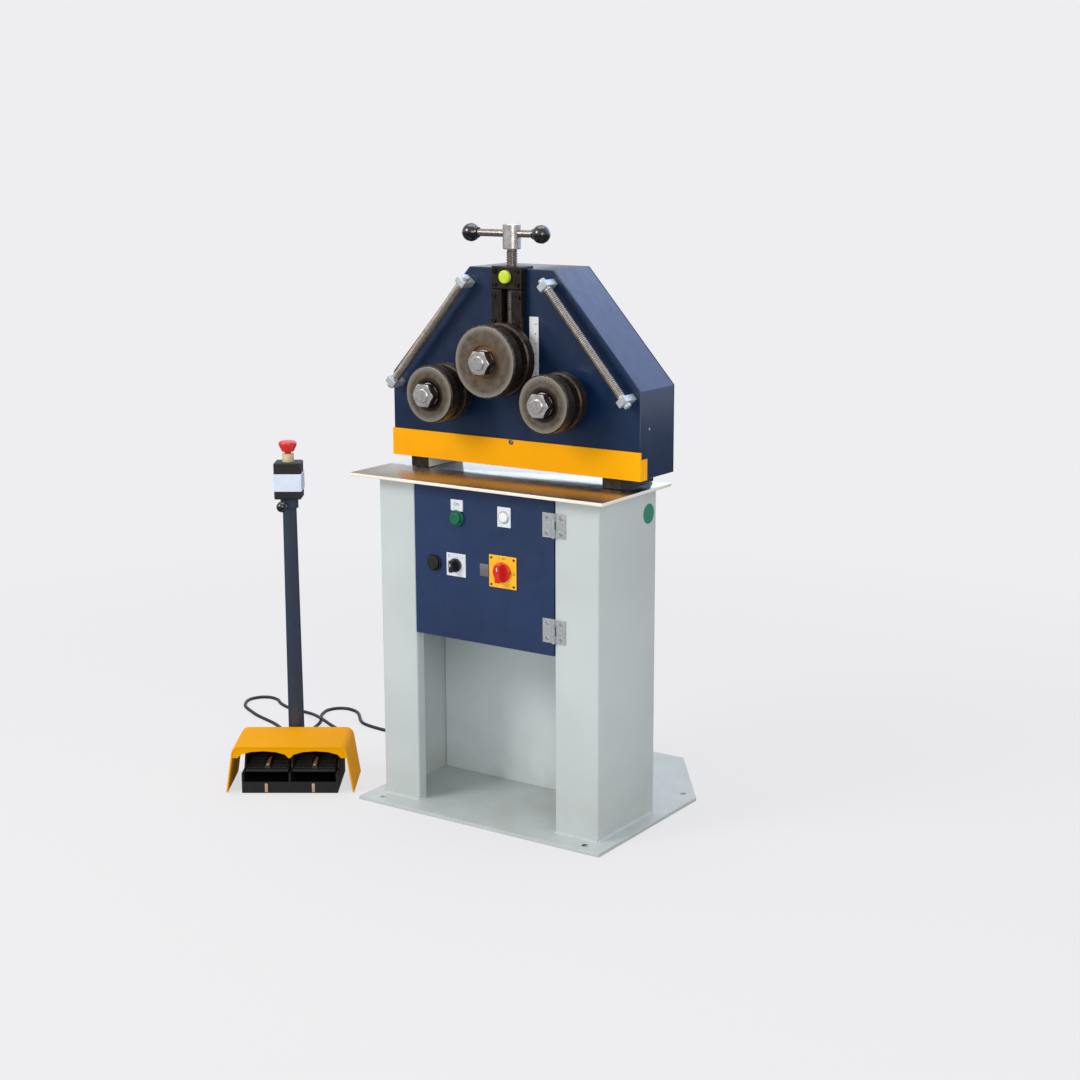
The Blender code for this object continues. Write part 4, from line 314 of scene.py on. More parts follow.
# copies of the guard's and the columns' coats: the hood a little deeper yellow; the panel a little lighter
# grey, painted light for the fill in the bay
paints["hood"] = {
    **paints["guard_paint"],
    "name": "powderCoatHoodYellow", "colour": "e8a000", "shade": "e09800", "gloss": 0.06,
}
paints["panel"] = {
    **paints["stand_paint"],
    "name": "powderCoatPanelGreyPaintedLight", "colour": "e2ecee", "shade": "d9e3e5",
}
steels = {
    # rolled plate, handled and oiled: a warm sheen drawn out along the rolling, and under the head a painted
    # pale reflection
    "table_paint": {
        "name": "rolledTableSteel", "colour": "b4aca2", "shade": "a0968a", "blotch": 90 * mm,
        "grain": 3 * mm, "stretch": (0.15, 1, 1), "rough": 0.3, "metal": 1, "bump": 0.03,
        "wallReflection": "e4edf2", "wallReflectionFrom": -0.158, "wallReflectionTo": -0.146, "underHeadRough": 0.14,
    },
    # turned and left bare: pale, with crisp highlights
    "bright_steel": {
        "name": "turnedBrightSteel", "colour": "e2e2e3", "shade": "bdbab5", "blotch": 9 * mm,
        "grain": 1.2 * mm, "stretch": (1, 1, 1), "rough": 0.24, "metal": 0.75, "bump": 0.1,
    },
    # ground and blackened: dark, streaked along the slide
    "slide_steel": {
        "name": "blackenedSlideSteel", "colour": "3b3633", "shade": "211e1d", "blotch": 14 * mm,
        "grain": 1 * mm, "stretch": (1, 1, 0.06), "rough": 0.34, "metal": 0.7, "bump": 0.2,
    },
    # zinc plate: cool and whitish, with a soft sheen
    "zinc": {
        "name": "zincPlatedSteel", "colour": "dde3e6", "shade": "bcc5ca", "blotch": 5 * mm,
        "grain": 1.5 * mm, "stretch": (1, 1, 1), "rough": 0.34, "metal": 0.6, "bump": 0.12,
    },
    # rolled thread with old oil in its roots: brown between bright crests
    "rod_thread": {
        "name": "rolledThreadSteel", "colour": "b3a38f", "shade": "7d6f60", "blotch": 12 * mm,
        "grain": 1.2 * mm, "stretch": (1, 1, 1), "rough": 0.36, "metal": 0.85, "bump": 0.15,
    },
    # drawn bar with a film of grease: darker and browner than the plated parts
    "greased": {
        "name": "greasedBarSteel", "colour": "a39c98", "shade": "7a726d", "blotch": 7 * mm,
        "grain": 1 * mm, "stretch": (1, 1, 1), "rough": 0.3, "metal": 0.85, "bump": 0.1,
    },
    # turned side of a roll, darkened by oil and heat treatment; on the nuts' flats the same dark colour is
    # painted shade
    "roll_side_and_shade": {
        "name": "oiledRollSideAndPaintedShade", "colour": "5a5048", "shade": "332d29", "blotch": 8 * mm,
        "grain": 1.4 * mm, "stretch": (1, 0.08, 1), "rough": 0.36, "metal": 0.8, "bump": 0.15,
    },
    # rolled aluminium left bare: dull grey, drawn out sideways
    "bare_plate": {
        "name": "dullAluminiumPlate", "colour": "8b8891", "shade": "7d7a84", "blotch": 10 * mm,
        "grain": 1 * mm, "stretch": (0.1, 1, 1), "rough": 0.4, "metal": 0.5, "bump": 0.1,
    },
}
rollFinish = {
    "colour": "877e73", "oil": "5f5140", "bright": "bdbab1", "rimShare": 0.6,
    "rough": 0.34, "metal": 0.75,
}
# each roll's hub radius, with the share and colour of the ring of painted shade round its nut
lowerRoll = {"rim": 0.060, "hub": 0.034, "hubShadeShare": 0.85, "hubShadeColour": "26221f"}
rolls = {
    "upper": {"axis": (0, 0, 0.973), "rim": 0.075, "hub": 0.040, "hubShadeShare": 0.8, "hubShadeColour": "7a6246"},
    "lower_left": {"axis": (-0.142, 0, 0.897), **lowerRoll},
    "lower_right": {"axis": (0.142, 0, 0.897), **lowerRoll},
}
plastics = {
    # material: its name, colour, shade, roughness, IOR, coat, depth of grain; then what it gives the eye
    "black_plastic": ("blackNylon", "17181b", "1e1f22", 0.5, 1.53, 0, 0.25),  # dull black, visibly grained
    "gloss_black": ("polishedPhenolic", "121214", "17171a", 0.1, 1.6, 0.6, 0.02),  # wet, sharp highlights
    "pale_plastic": ("paleAbs", "dfe6f0", "d3dbe6", 0.38, 1.53, 0.1, 0.1),  # cool white, satin
    "green_plastic": ("greenPolycarbonate", "127050", "0f6145", 0.3, 1.58, 0.3, 0.06),  # deep, glassy green
    "yellow_plastic": ("yellowAbs", "ffc21f", "f8b512", 0.34, 1.53, 0.15, 0.08),  # warm yellow, satin
    "red_plastic": ("redPolycarbonate", "e02a24", "cd201c", 0.24, 1.58, 0.4, 0.05),  # bright, nearly glossy
    "cap_plastic": ("limePolyethylene", "c8dc3c", "bad02f", 0.3, 1.51, 0.2, 0.05),  # waxy lime
    "pale_blue": ("paleBlueAbs", "dce8fb", "d2dff3", 0.34, 1.53, 0.15, 0.08),  # icy white, satin
    "cream": ("creamAbs", "dccfa6", "d0c296", 0.36, 1.53, 0.1, 0.08),  # yellowed by light, satin
    "tan": ("tanAbs", "c4a488", "b5967b", 0.4, 1.53, 0.05, 0.1),  # pale tan, matt: painted glints on the pedals and painted reflections on the base's lip
    "lens": ("frostedLens", "f2f4f6", "e8ebee", 0.22, 1.58, 0.4, 0.03),  # milky, smooth
    "green_film": ("greenVinyl", "2f8a6c", "2a8063", 0.4, 1.53, 0.1, 0.04),  # flat green, thin as paper
    "ink": ("printInk", "1a1b1e", "212226", 0.5, 1.5, 0, 0.02),  # flat black
    "white_ink": ("whiteInk", "e9ecef", "dfe3e7", 0.5, 1.5, 0, 0.02),  # flat white
    "contactor": ("contactorPolyamide", "4a4f57", "434850", 0.46, 1.53, 0, 0.15),  # dark grey, dry
    "relay": ("relayPolyamide", "a9adb1", "9fa3a8", 0.46, 1.53, 0, 0.15),  # light grey, dry
}
# keyed by the record's material slots, or by a name of their own for the pieces' second finishes
materials = {"rule_aluminium": brushedAluminium(), "cord_jacket": extrudedPvc()}
for kind, look in paints.items():
    materials[kind] = powderCoatedSteel(look)
for kind, look in steels.items():
    materials[kind] = platedSteel(look)
for kind, (name, *look) in plastics.items():
    materials[kind] = mouldedPlastic(name, look)
for roll, look in rolls.items():
    materials[roll] = facedToolSteel({"name": "facedToolSteel." + roll, **rollFinish, **look})
print("materials made:", len(materials))


# Every solid gets its edges eased: by 0.5 mm as a rule, and by more on bent sheet, mouldings and castings
easing = {
    "weldWithin": 0.005 * mm,
    "flatBelow": 0.4,  # degrees between faces that are one flat
    "roundAbove": 28,  # degrees between faces that meet in a real edge
    "usual": 0.5 * mm,
    "stand_left_column": 1.2 * mm, "stand_right_column": 1.2 * mm, "base_plate": 0.8 * mm, "door": 1.0 * mm,
    "head_housing": 1.0 * mm, "roll_guard": 0.8 * mm, "table_plate": 0.8 * mm, "foot_hood": 0.8 * mm,
    "foot_base": 1.0 * mm, "control_box": 1.2 * mm, "gearmotor": 1.5 * mm, "main_switch_knob": 1.0 * mm,
    "control_cabinet": 0.6 * mm, "scale_rule": 0.2 * mm, "carriage": 0.6 * mm,
}


def easedCopy(node, values):
    drawn = bmesh.new()
    drawn.from_mesh(nodes[node].data)
    bmesh.ops.remove_doubles(drawn, verts=drawn.verts, dist=values["weldWithin"])
    flat = math.radians(values["flatBelow"])
    bmesh.ops.dissolve_limit(drawn, angle_limit=flat, verts=drawn.verts, edges=drawn.edges)
    mesh = bpy.data.meshes.new(node + "_shell")
    drawn.to_mesh(mesh)
    drawn.free()
    # the solid's own shading would fight with the new edges
    for name in ("custom_normal", "sharp_edge", "sharp_face"):
        if name in mesh.attributes:
            mesh.attributes.remove(mesh.attributes[name])
    mesh.shade_smooth()
    piece = bpy.data.objects.new(node + "_shell", mesh)
    scene.collection.objects.link(piece)
    edge = piece.modifiers.new("easedEdges", "BEVEL")
    edge.width = values.get(node, values["usual"])
    edge.segments = 2
    edge.limit_method = "ANGLE"
    edge.angle_limit = math.radians(values["roundAbove"])
    edge.harden_normals = True
    edge.miter_outer = "MITER_ARC"
    return piece


def materialFor(node):
    for roll in rolls:
        if node.startswith(roll + "_roll"):
            return materials[roll]
    return materials["post"] if node == "post" else materials[slotOfNode[node]]


shells = {}
# the cord is drawn anew as a tube, further down
for node in sorted(set(nodes) - {"control_cord"}):
    shell = easedCopy(node, easing)
    shell.data.materials.append(materialFor(node))
    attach(shell, bodyOfNode[node])
    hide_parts(node)
    shells[node] = shell
print("solids eased:", len(shells))


# Control cord: its middle runs through these points, from the gland on the stand to the foot station
controlCord = {
    "radius": 4 * mm,
    "steps": 12,
    "route": (
        (-0.2450, -0.0017, 0.1100), (-0.2450, 0.0180, 0.1100), (-0.2450, 0.0430, 0.0990),
        (-0.2490, 0.0680, 0.0640), (-0.2589, 0.0893, 0.0310), (-0.2807, 0.1014, 0.0150),
        (-0.3059, 0.1060, 0.0131), (-0.3402, 0.1057, 0.0085), (-0.3752, 0.1017, 0.0045),
        (-0.4751, 0.0988, 0.0043), (-0.5828, 0.0967, 0.0043), (-0.6324, 0.1064, 0.0043),
        (-0.7269, 0.1779, 0.0043), (-0.7490, 0.1805, 0.0043), (-0.7720, 0.1685, 0.0043),
        (-0.7821, 0.1450, 0.0043), (-0.7732, 0.1129, 0.0043), (-0.7350, 0.0600, 0.0043),
        (-0.6990, -0.0224, 0.0043), (-0.6881, -0.0366, 0.0043), (-0.6633, -0.0455, 0.0043),
        (-0.6444, -0.0394, 0.0043), (-0.6312, -0.0220, 0.0043), (-0.6298, -0.0030, 0.0052),
        # here it crosses over itself
        (-0.6426, 0.0191, 0.0080), (-0.6846, 0.0359, 0.0132), (-0.7350, 0.0600, 0.0140),
        (-0.7783, 0.0828, 0.0100), (-0.8253, 0.0992, 0.0050), (-0.8739, 0.1042, 0.0043),
        (-0.9180, 0.1209, 0.0043), (-0.9536, 0.1436, 0.0043), (-0.9778, 0.1464, 0.0043),
        (-0.9977, 0.1363, 0.0043), (-1.0099, 0.1084, 0.0043), (-0.9912, 0.0666, 0.0043),
        (-0.9251, 0.0242, 0.0043), (-0.8000, -0.0230, 0.0043), (-0.7000, -0.0950, 0.0043),
        (-0.6480, -0.1560, 0.0070), (-0.6200, -0.2038, 0.0180), (-0.6062, -0.2247, 0.0200),
    ),
}


def smoothRoute(route, steps):
    # a cubic through the points, whose slope at each point leans towards the nearer neighbour
    points = [Vector(point) for point in route]
    last = len(points) - 1
    slopes = []
    for index in range(last + 1):
        back = points[index] - points[max(index - 1, 0)]
        ahead = points[min(index + 1, last)] - points[index]
        if index in (0, last):
            slopes.append((back + ahead).normalized())
            continue
        lean = back.normalized() * ahead.length + ahead.normalized() * back.length
        slopes.append(lean / (back.length + ahead.length))
    found = []
    for index in range(last):
        start, end = points[index], points[index + 1]
        span = (end - start).length
        for step in range(steps):
            t = step / steps
            found.append(
                start * (2 * t**3 - 3 * t**2 + 1) + slopes[index] * span * (t**3 - 2 * t**2 + t)
                + end * (3 * t**2 - 2 * t**3) + slopes[index + 1] * span * (t**3 - t**2)
            )
    return found + [points[last]]


def addControlCord(values):
    points = smoothRoute(values["route"], values["steps"])
    curve = bpy.data.curves.new("controlCord", "CURVE")
    curve.dimensions = "3D"
    curve.bevel_depth = values["radius"]
    curve.bevel_resolution = 4
    curve.use_fill_caps = True
    line = curve.splines.new("POLY")
    line.points.add(len(points) - 1)
    for spot, point in zip(line.points, points):
        spot.co = (*point, 1)
    line.use_smooth = True
    cord = bpy.data.objects.new("controlCordSleeve", curve)
    scene.collection.objects.link(cord)
    curve.materials.append(materials["cord_jacket"])
    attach(cord, "frame")
    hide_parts("control_cord")


addControlCord(controlCord)


# Studio: a pale floor that fades into the same pale wall, and large soft lamps
studio = {
    "backdrop": "eeeef0",
    "ambient": 0.62,
    "paper": "dcdcde",
    "floorInReflections": 0.15,
    "wallInReflections": 0.8,
    "shadowShare": 0.25,
    "floorRadius": 60,
    "fadeFrom": 0.9,
    "fadeTo": 2.6,
    "middle": (-0.15, -0.1, 0),
}
lamps = {
    # name: place, what it points at, width, height, watts, colour, whether it is only met as a reflection
    "keySoftbox": ((-1.9, -3.4, 3.0), (0.0, -0.1, 0.6), 1.6, 1.6, 88, "fffaf4", False),
    "fillSoftbox": ((2.6, -2.6, 1.8), (0.0, -0.1, 0.6), 1.6, 1.6, 30, "fffaf4", False),
    "topSoftbox": ((-0.3, 0.3, 4.2), (0, 0, 0.6), 3.0, 2.4, 52, "f6f9ff", False),
    # a blue wall that the head's slopes mirror
    "rearWall": ((1.2, 2.7, 2.85), (0.2, -0.1, 1.04), 4.5, 3.5, 84, "9cbcff", True),
    # a low strip behind the machine, met only by rays that leave the table nearly level
    "lowStrip": ((-0.4, 2.4, 1.15), (0, -0.05, 0.73), 4.0, 0.9, 7, "e2efff", True),
}


def rayShare(tree, *kinds):
    # 1 for a ray of one of these kinds, else 0
    path = addNode(tree, "LightPath")
    share = path.outputs[kinds[0]]
    for kind in kinds[1:]:
        share = addNode(tree, "Math", {"operation": "MAXIMUM"}, {0: share, 1: path.outputs[kind]}).outputs[0]
    return share


def addWorld(values):
    scene.world = bpy.data.worlds.new("studioWorld")
    tree = emptyTree(scene.world)
    backdrop = linearColour(values["backdrop"])
    plain = addNode(tree, "Background", sockets={"Color": backdrop, "Strength": 1.0})
    soft = addNode(tree, "Background", sockets={"Color": (1, 1, 1, 1), "Strength": values["ambient"]})
    dim = addNode(tree, "Background", sockets={"Color": backdrop, "Strength": values["wallInReflections"]})
    mirrored = rayShare(tree, "Is Glossy Ray")
    unseen = addNode(tree, "MixShader", sockets={0: mirrored, 1: soft.outputs[0], 2: dim.outputs[0]})
    seen = rayShare(tree, "Is Camera Ray", "Is Transmission Ray")
    both = addNode(tree, "MixShader", sockets={0: seen, 1: unseen.outputs[0], 2: plain.outputs[0]})
    addNode(tree, "OutputWorld", sockets={"Surface": both.outputs[0]})


# A paper floor with soft shadows near the machine, plain backdrop further off, and dimmer in reflections
def addFloor(values):
    drawn = bmesh.new()
    bmesh.ops.create_circle(drawn, cap_ends=True, segments=96, radius=values["floorRadius"])
    mesh = bpy.data.meshes.new("studioFloor")
    drawn.to_mesh(mesh)
    drawn.free()
    floor = bpy.data.objects.new("studioFloor", mesh)
    scene.collection.objects.link(floor)
    material = bpy.data.materials.new("seamlessPaper")
    tree = emptyTree(material)
    backdrop = linearColour(values["backdrop"])
    place = addNode(tree, "TexCoord").outputs["Object"]
    ends = {0: place, 1: values["middle"]}
    away = addNode(tree, "VectorMath", {"operation": "DISTANCE"}, ends).outputs["Value"]
    fade = between(away, values["fadeFrom"], values["fadeTo"], 1 - values["shadowShare"], 1)
    far = addNode(tree, "MapRange", sockets=fade).outputs["Result"]
    seen = rayShare(tree, "Is Camera Ray")
    share = addNode(tree, "Math", {"operation": "MULTIPLY"}, {0: far, 1: seen}).outputs[0]
    paper = addNode(tree, "BsdfDiffuse", sockets={"Color": linearColour(values["paper"])})
    plain = addNode(tree, "Emission", sockets={"Color": backdrop, "Strength": 1.0})
    lit = addNode(tree, "MixShader", sockets={0: share, 1: paper.outputs[0], 2: plain.outputs[0]})
    dim = addNode(tree, "Emission", sockets={"Color": backdrop, "Strength": values["floorInReflections"]})
    mirrored = rayShare(tree, "Is Glossy Ray")
    both = addNode(tree, "MixShader", sockets={0: mirrored, 1: lit.outputs[0], 2: dim.outputs[0]})
    addNode(tree, "OutputMaterial", sockets={"Surface": both.outputs[0]})
    mesh.materials.append(material)


def addLamps(values):
    for name, (place, aim, width, height, watts, colour, mirroredOnly) in values.items():
        data = bpy.data.lights.new(name, "AREA")
        data.shape = "RECTANGLE"
        data.size = width
        data.size_y = height
        data.energy = watts
        data.color = linearColour(colour)[:3]
        lamp = bpy.data.objects.new(name, data)
        lamp.location = place
        lamp.rotation_euler = (Vector(aim) - Vector(place)).to_track_quat("-Z", "Y").to_euler()
        lamp.visible_camera = False
        lamp.visible_diffuse = not mirroredOnly
        scene.collection.objects.link(lamp)


addWorld(studio)
addFloor(studio)
addLamps(lamps)
scene.view_settings.view_transform = "Standard"
print("studio lit")


def addPiece(name, drawn, material, body, sharpAt=32):
    bmesh.ops.recalc_face_normals(drawn, faces=drawn.faces)
    mesh = bpy.data.meshes.new(name)
    drawn.to_mesh(mesh)
    drawn.free()
    mesh.shade_smooth()
    mesh.set_sharp_from_angle(angle=math.radians(sharpAt))
    mesh.materials.append(material)
    piece = bpy.data.objects.new(name, mesh)
    scene.collection.objects.link(piece)
    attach(piece, body)
    return piece


def turned(drawn, profile, matrix, count=48, sides=None, closed=False):
    # rings of points, each (radius, height): round, or with flat sides where sides names how many;
    # closed joins the last ring to the first, for a piece with a hole
    rings = []
    for step, (radius, height) in enumerate(profile):
        flat = sides[step] if sides else 0
        ring = []
        for index in range(count):
            angle = math.tau * index / count
            reach = radius
            if flat:
                half = math.pi / flat
                reach = radius / math.cos((angle + half) % (2 * half) - half)
            spot = Vector((reach * math.cos(angle), reach * math.sin(angle), height))
            ring.append(drawn.verts.new(matrix @ spot))
        rings.append(ring)
    for low, high in zip(rings, rings[1:] + rings[:1] if closed else rings[1:]):
        for index in range(count):
            after = (index + 1) % count
            drawn.faces.new((low[index], low[after], high[after], high[index]))
    for ring in () if closed else (rings[0], rings[-1]):
        drawn.faces.new(ring)


def facing(place, direction, spin=0):
    turn = Vector(direction).to_track_quat("Z", "Y").to_matrix().to_4x4()
    return Matrix.Translation(place) @ turn @ Matrix.Rotation(spin, 4, "Z")


def slab(drawn, low, high, edge, matrix=None):
    # a block between two corners, its edges eased where edge is more than nothing
    made = bmesh.ops.create_cube(drawn, size=1)["verts"]
    size = Vector(high) - Vector(low)
    middle = (Vector(high) + Vector(low)) / 2
    for vert in made:
        vert.co = Vector(a * b for a, b in zip(vert.co, size)) + middle
        if matrix:
            vert.co = matrix @ vert.co
    if edge:
        # each edge once, always in the same order
        edges = dict.fromkeys(line for vert in made for line in vert.link_edges)
        bmesh.ops.bevel(drawn, geom=list(edges), offset=edge, segments=2, profile=0.5, affect="EDGES")


# Screw heads, each with a hexagon key
fasteners = {
    # kind: radius, height, key's radius and depth, whether it is domed
    "socketHead": (4.5 * mm, 4.0 * mm, 2.3 * mm, 2.2 * mm, False),
    "buttonHead": (5.2 * mm, 2.8 * mm, 1.8 * mm, 1.6 * mm, True),
    "smallCountersunk": (2.6 * mm, 0.35 * mm, 1.0 * mm, 0.3 * mm, False),
    "guardButton": (6.0 * mm, 3.6 * mm, 2.6 * mm, 2.0 * mm, True),
    "hingeScrew": (4.2 * mm, 0.9 * mm, 1.5 * mm, 0.8 * mm, False),
    "terminalScrew": (3.3 * mm, 1.2 * mm, 1.3 * mm, 0.7 * mm, False),
}


def addScrews(name, kind, places, finish, body):
    radius, stands, key, depth, domed = fasteners[kind]
    edge = min(0.4 * mm, stands / 3)
    # a domed head curves in to its key, a plain one keeps a straight side with an eased edge
    side, crown = (stands * 0.4, radius * 0.55) if domed else (stands - edge, radius - edge)
    profile = [(radius, 0.05 * mm), (radius, side), (crown, stands), (key, stands)]
    profile += [(key, stands - depth), (key * 0.3, stands - depth - edge / 2)]
    drawn = bmesh.new()
    for index, (place, way) in enumerate(places):
        # each key has stopped at an angle of its own
        turned(drawn, profile, facing(place, way, 0.5 * index), 24, (0, 0, 0, 6, 6, 6))
    addPiece(name, drawn, materials[finish], body)


def inPairs(x, y, heights):
    # screws that face forward, the same to the left and right of the machine's middle
    return [((side * x, y, z), (0, -1, 0)) for side in (-1, 1) for z in heights]


slideFront, coverBack = -176.3 * mm, -25 * mm
railHeights, blockHeights = (0.918, 0.985, 1.050, 1.100), (1.124, 1.151)
hingeHeights = (0.423, 0.455, 0.641, 0.673)
coverScrews = (
    (-0.295, 0.762), (0.295, 0.762), (-0.1, 0.762), (0.1, 0.762), (-0.295, 0.905), (0.295, 0.905),
    (-0.202, 1.02), (0.202, 1.02), (-0.092, 1.138), (0.092, 1.138),
)
motorFlange = {"radius": 63 * mm, "height": 0.897, "angles": (0.785, 2.356, 3.927, 5.498)}
switchPlate = {"middle": (0.046, 0.546), "half": 28 * mm, "front": -260.8 * mm}
screwPlaces = {
    # name: kind, material, body, places with the way each faces
    "railScrews": ("socketHead", "slide_steel", "frame", inPairs(30 * mm, slideFront, railHeights)),
    "blockScrews": ("socketHead", "slide_steel", "frame", inPairs(28 * mm, slideFront, blockHeights)),
    "guardBolt": ("guardButton", "rod_thread", "frame", [((0, -161.3 * mm, 0.7985), (0, -1, 0))]),
    "headSideScrews": ("smallCountersunk", "zinc", "frame", [
        ((side * 310 * mm, -0.123, 0.846), (side, 0, 0)) for side in (-1, 1)
    ]),
    "rearCoverScrews": ("buttonHead", "slide_steel", "frame", [
        ((x, coverBack, z), (0, 1, 0)) for x, z in coverScrews
    ]),
    "backPanelScrews": ("buttonHead", "zinc", "frame", [
        ((side * 248 * mm, -34.95 * mm, z), (0, 1, 0)) for side in (-1, 1) for z in (0.05, 0.36, 0.67)
    ]),
    "frameHingeScrews": ("hingeScrew", "bright_steel", "frame", [
        ((0.187, -258.3 * mm, z), (0, -1, 0)) for z in hingeHeights
    ]),
    "doorHingeScrews": ("hingeScrew", "bright_steel", "door", [
        ((0.1545, -259.8 * mm, z), (0, -1, 0)) for z in hingeHeights
    ]),
    "motorFlangeScrews": ("socketHead", "slide_steel", "frame", [
        ((
            motorFlange["radius"] * math.cos(angle), coverBack,
            motorFlange["height"] + motorFlange["radius"] * math.sin(angle),
        ), (0, 1, 0))
        for angle in motorFlange["angles"]
    ]),
    "switchPlateScrews": ("smallCountersunk", "slide_steel", "door", [
        ((
            switchPlate["middle"][0] + x * switchPlate["half"], switchPlate["front"],
            switchPlate["middle"][1] + z * switchPlate["half"],
        ), (0, -1, 0))
        for x in (-1, 1) for z in (-1, 1)
    ]),
    "terminalLidScrews": ("smallCountersunk", "slide_steel", "frame", [
        ((-81 * mm, y, z), (-1, 0, 0)) for y in (0.062, 0.102) for z in (0.872, 0.922)
    ]),
}
for name, (kind, finish, body, places) in screwPlaces.items():
    addScrews(name, kind, places, finish, body)
print("screws set:", sum(len(entry[3]) for entry in screwPlaces.values()))


# Threads on the two guide spindles and on the adjusting screw
threads = {
    # where each thread begins and ends, and its y; the guides' ends are given as x and z of the right one
    "guide": {
        "root": 7.6 * mm, "crest": 9.2 * mm, "pitch": 4 * mm,
        "top": (0.092, 1.137), "foot": (0.2985, 0.896), "y": -0.185, "clearOfEnds": 25 * mm,
    },
    "screw": {
        "root": 9.8 * mm, "crest": 11.5 * mm, "pitch": 5 * mm,
        "from": 1.0365, "to": 1.1915, "y": -0.154,
    },
    # half the ridge's width at foot and crest, as shares of the pitch, and how deep its ends sink
    "footShare": 0.42, "crestShare": 0.14, "sunk": 0.2 * mm,
}


# Rolled threads: one ridge wound round its rod, as a swept trapezium
def thread(drawn, matrix, root, size, length, around):
    foot, top = threads["footShare"], threads["crestShare"]
    shape = ((root, -foot), (size["crest"], -top), (size["crest"], top), (root, foot))
    total = int(length / size["pitch"] * around)
    sunk = threads["sunk"]
    rows = []
    for step in range(total + 1):
        angle = math.tau * step / around
        # the ridge runs out over the first and last half turn
        fade = min(1, step / (around / 2), (total - step) / (around / 2))
        row = []
        for radius, share in shape:
            reach = root - sunk + (radius - root + sunk) * fade
            height = (step / around + share) * size["pitch"]
            spot = Vector((reach * math.cos(angle), reach * math.sin(angle), height))
            row.append(drawn.verts.new(matrix @ spot))
        rows.append(row)
    for first, second in zip(rows, rows[1:]):
        for index in range(len(shape)):
            after = (index + 1) % len(shape)
            drawn.faces.new((first[index], second[index], second[after], first[after]))
    drawn.faces.new(rows[0])
    drawn.faces.new(rows[-1])


def addThreads(values):
    size = values["guide"]
    for side, name in ((-1, "Left"), (1, "Right")):
        top, foot = (Vector((side * size[end][0], size["y"], size[end][1])) for end in ("top", "foot"))
        along = (top - foot).normalized()
        start = facing(foot + along * size["clearOfEnds"], along)
        drawn = bmesh.new()
        thread(drawn, start, size["root"], size, (top - foot).length - 2 * size["clearOfEnds"], 20)
        addPiece("guideSpindleThread" + name, drawn, materials["rod_thread"], "frame", 50)
    size = values["screw"]
    length = size["to"] - size["from"]
    start = facing((0, size["y"], size["from"]), (0, 0, 1))
    drawn = bmesh.new()
    turned(drawn, [(size["root"], -4 * mm), (size["root"], length + 4 * mm)], start, 40)
    thread(drawn, start, size["root"] - 0.1 * mm, size, length, 32)
    addPiece("adjustingScrewThread", drawn, materials["greased"], "spindle", 50)


# The plain shank of the adjusting screw gives way to the thread
def clearShank(shell, size):
    drawn = bmesh.new()
    drawn.from_mesh(shell.data)
    gone = []
    for face in drawn.faces:
        x, y, z = face.calc_center_median()
        onSide = abs(face.normal.z) < 0.5 and size["from"] - 5 * mm < z < size["to"]
        if onSide and math.hypot(x, y - size["y"]) < size["crest"] + 1 * mm:
            gone.append(face)
    bmesh.ops.delete(drawn, geom=gone, context="FACES")
    drawn.to_mesh(shell.data)
    drawn.free()


addThreads(threads)
clearShank(shells["adjusting_spindle"], threads["screw"])
print("threads cut")


# Round pieces get twice the facets: each chord round the axis gains a middle point at the full radius
across, deep, upright = (1, 0, 0), (0, 1, 0), (0, 0, 1)
crossBar, stopPost = (0, -0.154, 1.225), (-0.5597, -0.2242, 0)
roundPieces = {
    # node: a point on its axis, the axis
    "block_cap": ((0, 0, 1.139), deep),
    "start_button": ((-0.069, 0, 0.647), deep), "jog_button": ((-0.130, 0, 0.545), deep),
    "stop_button": (stopPost, upright), "post": (stopPost, upright),
    "adjusting_spindle": ((0, -0.154, 0), upright),
    "bar_knob_left": (crossBar, across), "bar_knob_right": (crossBar, across), "t_bar": (crossBar, across),
}
for roll, look in rolls.items():
    for part in ("_roll_front", "_roll_rear", "_shaft"):
        roundPieces[roll + part] = (look["axis"], deep)
# how far two points of one ring may differ, the least radius, and the widest chord in radians
rounding = {"slack": 0.02 * mm, "leastRadius": 1 * mm, "widestChord": 0.6}


def rounder(shell, middle, axis, values):
    middle, axis = Vector(middle), Vector(axis)
    slack = values["slack"]
    drawn = bmesh.new()
    drawn.from_mesh(shell.data)
    old = set(drawn.verts)
    place = {vert: vert.co - middle for vert in old}
    flat = {vert: away - axis * away.dot(axis) for vert, away in place.items()}
    chords = []
    for edge in drawn.edges:
        first, second = edge.verts
        reach = flat[first].length
        if abs((place[first] - place[second]).dot(axis)) > slack or abs(reach - flat[second].length) > slack:
            continue
        if reach > values["leastRadius"] and flat[first].angle(flat[second]) < values["widestChord"]:
            chords.append(edge)
    bmesh.ops.subdivide_edges(drawn, edges=chords, cuts=1)
    for vert in drawn.verts:
        if vert in old:
            continue
        away = vert.co - middle
        height = axis * away.dot(axis)
        ends = [flat[other].length for edge in vert.link_edges for other in edge.verts if other in old]
        if ends:
            vert.co = middle + height + (away - height).normalized() * max(ends)
    drawn.to_mesh(shell.data)
    drawn.free()


for node, (middle, axis) in roundPieces.items():
    rounder(shells[node], middle, axis, rounding)
print("round pieces refined:", len(roundPieces))


# Some pieces are made of two things, or look other than their slot: the faces that a test picks get
# a finish of their own
def paintFaces(node, kind, picked):
    mesh = shells[node].data
    mesh.materials.append(materials[kind])
    for face in mesh.polygons:
        if picked(face.center, face.normal):
            face.material_index = len(mesh.materials) - 1


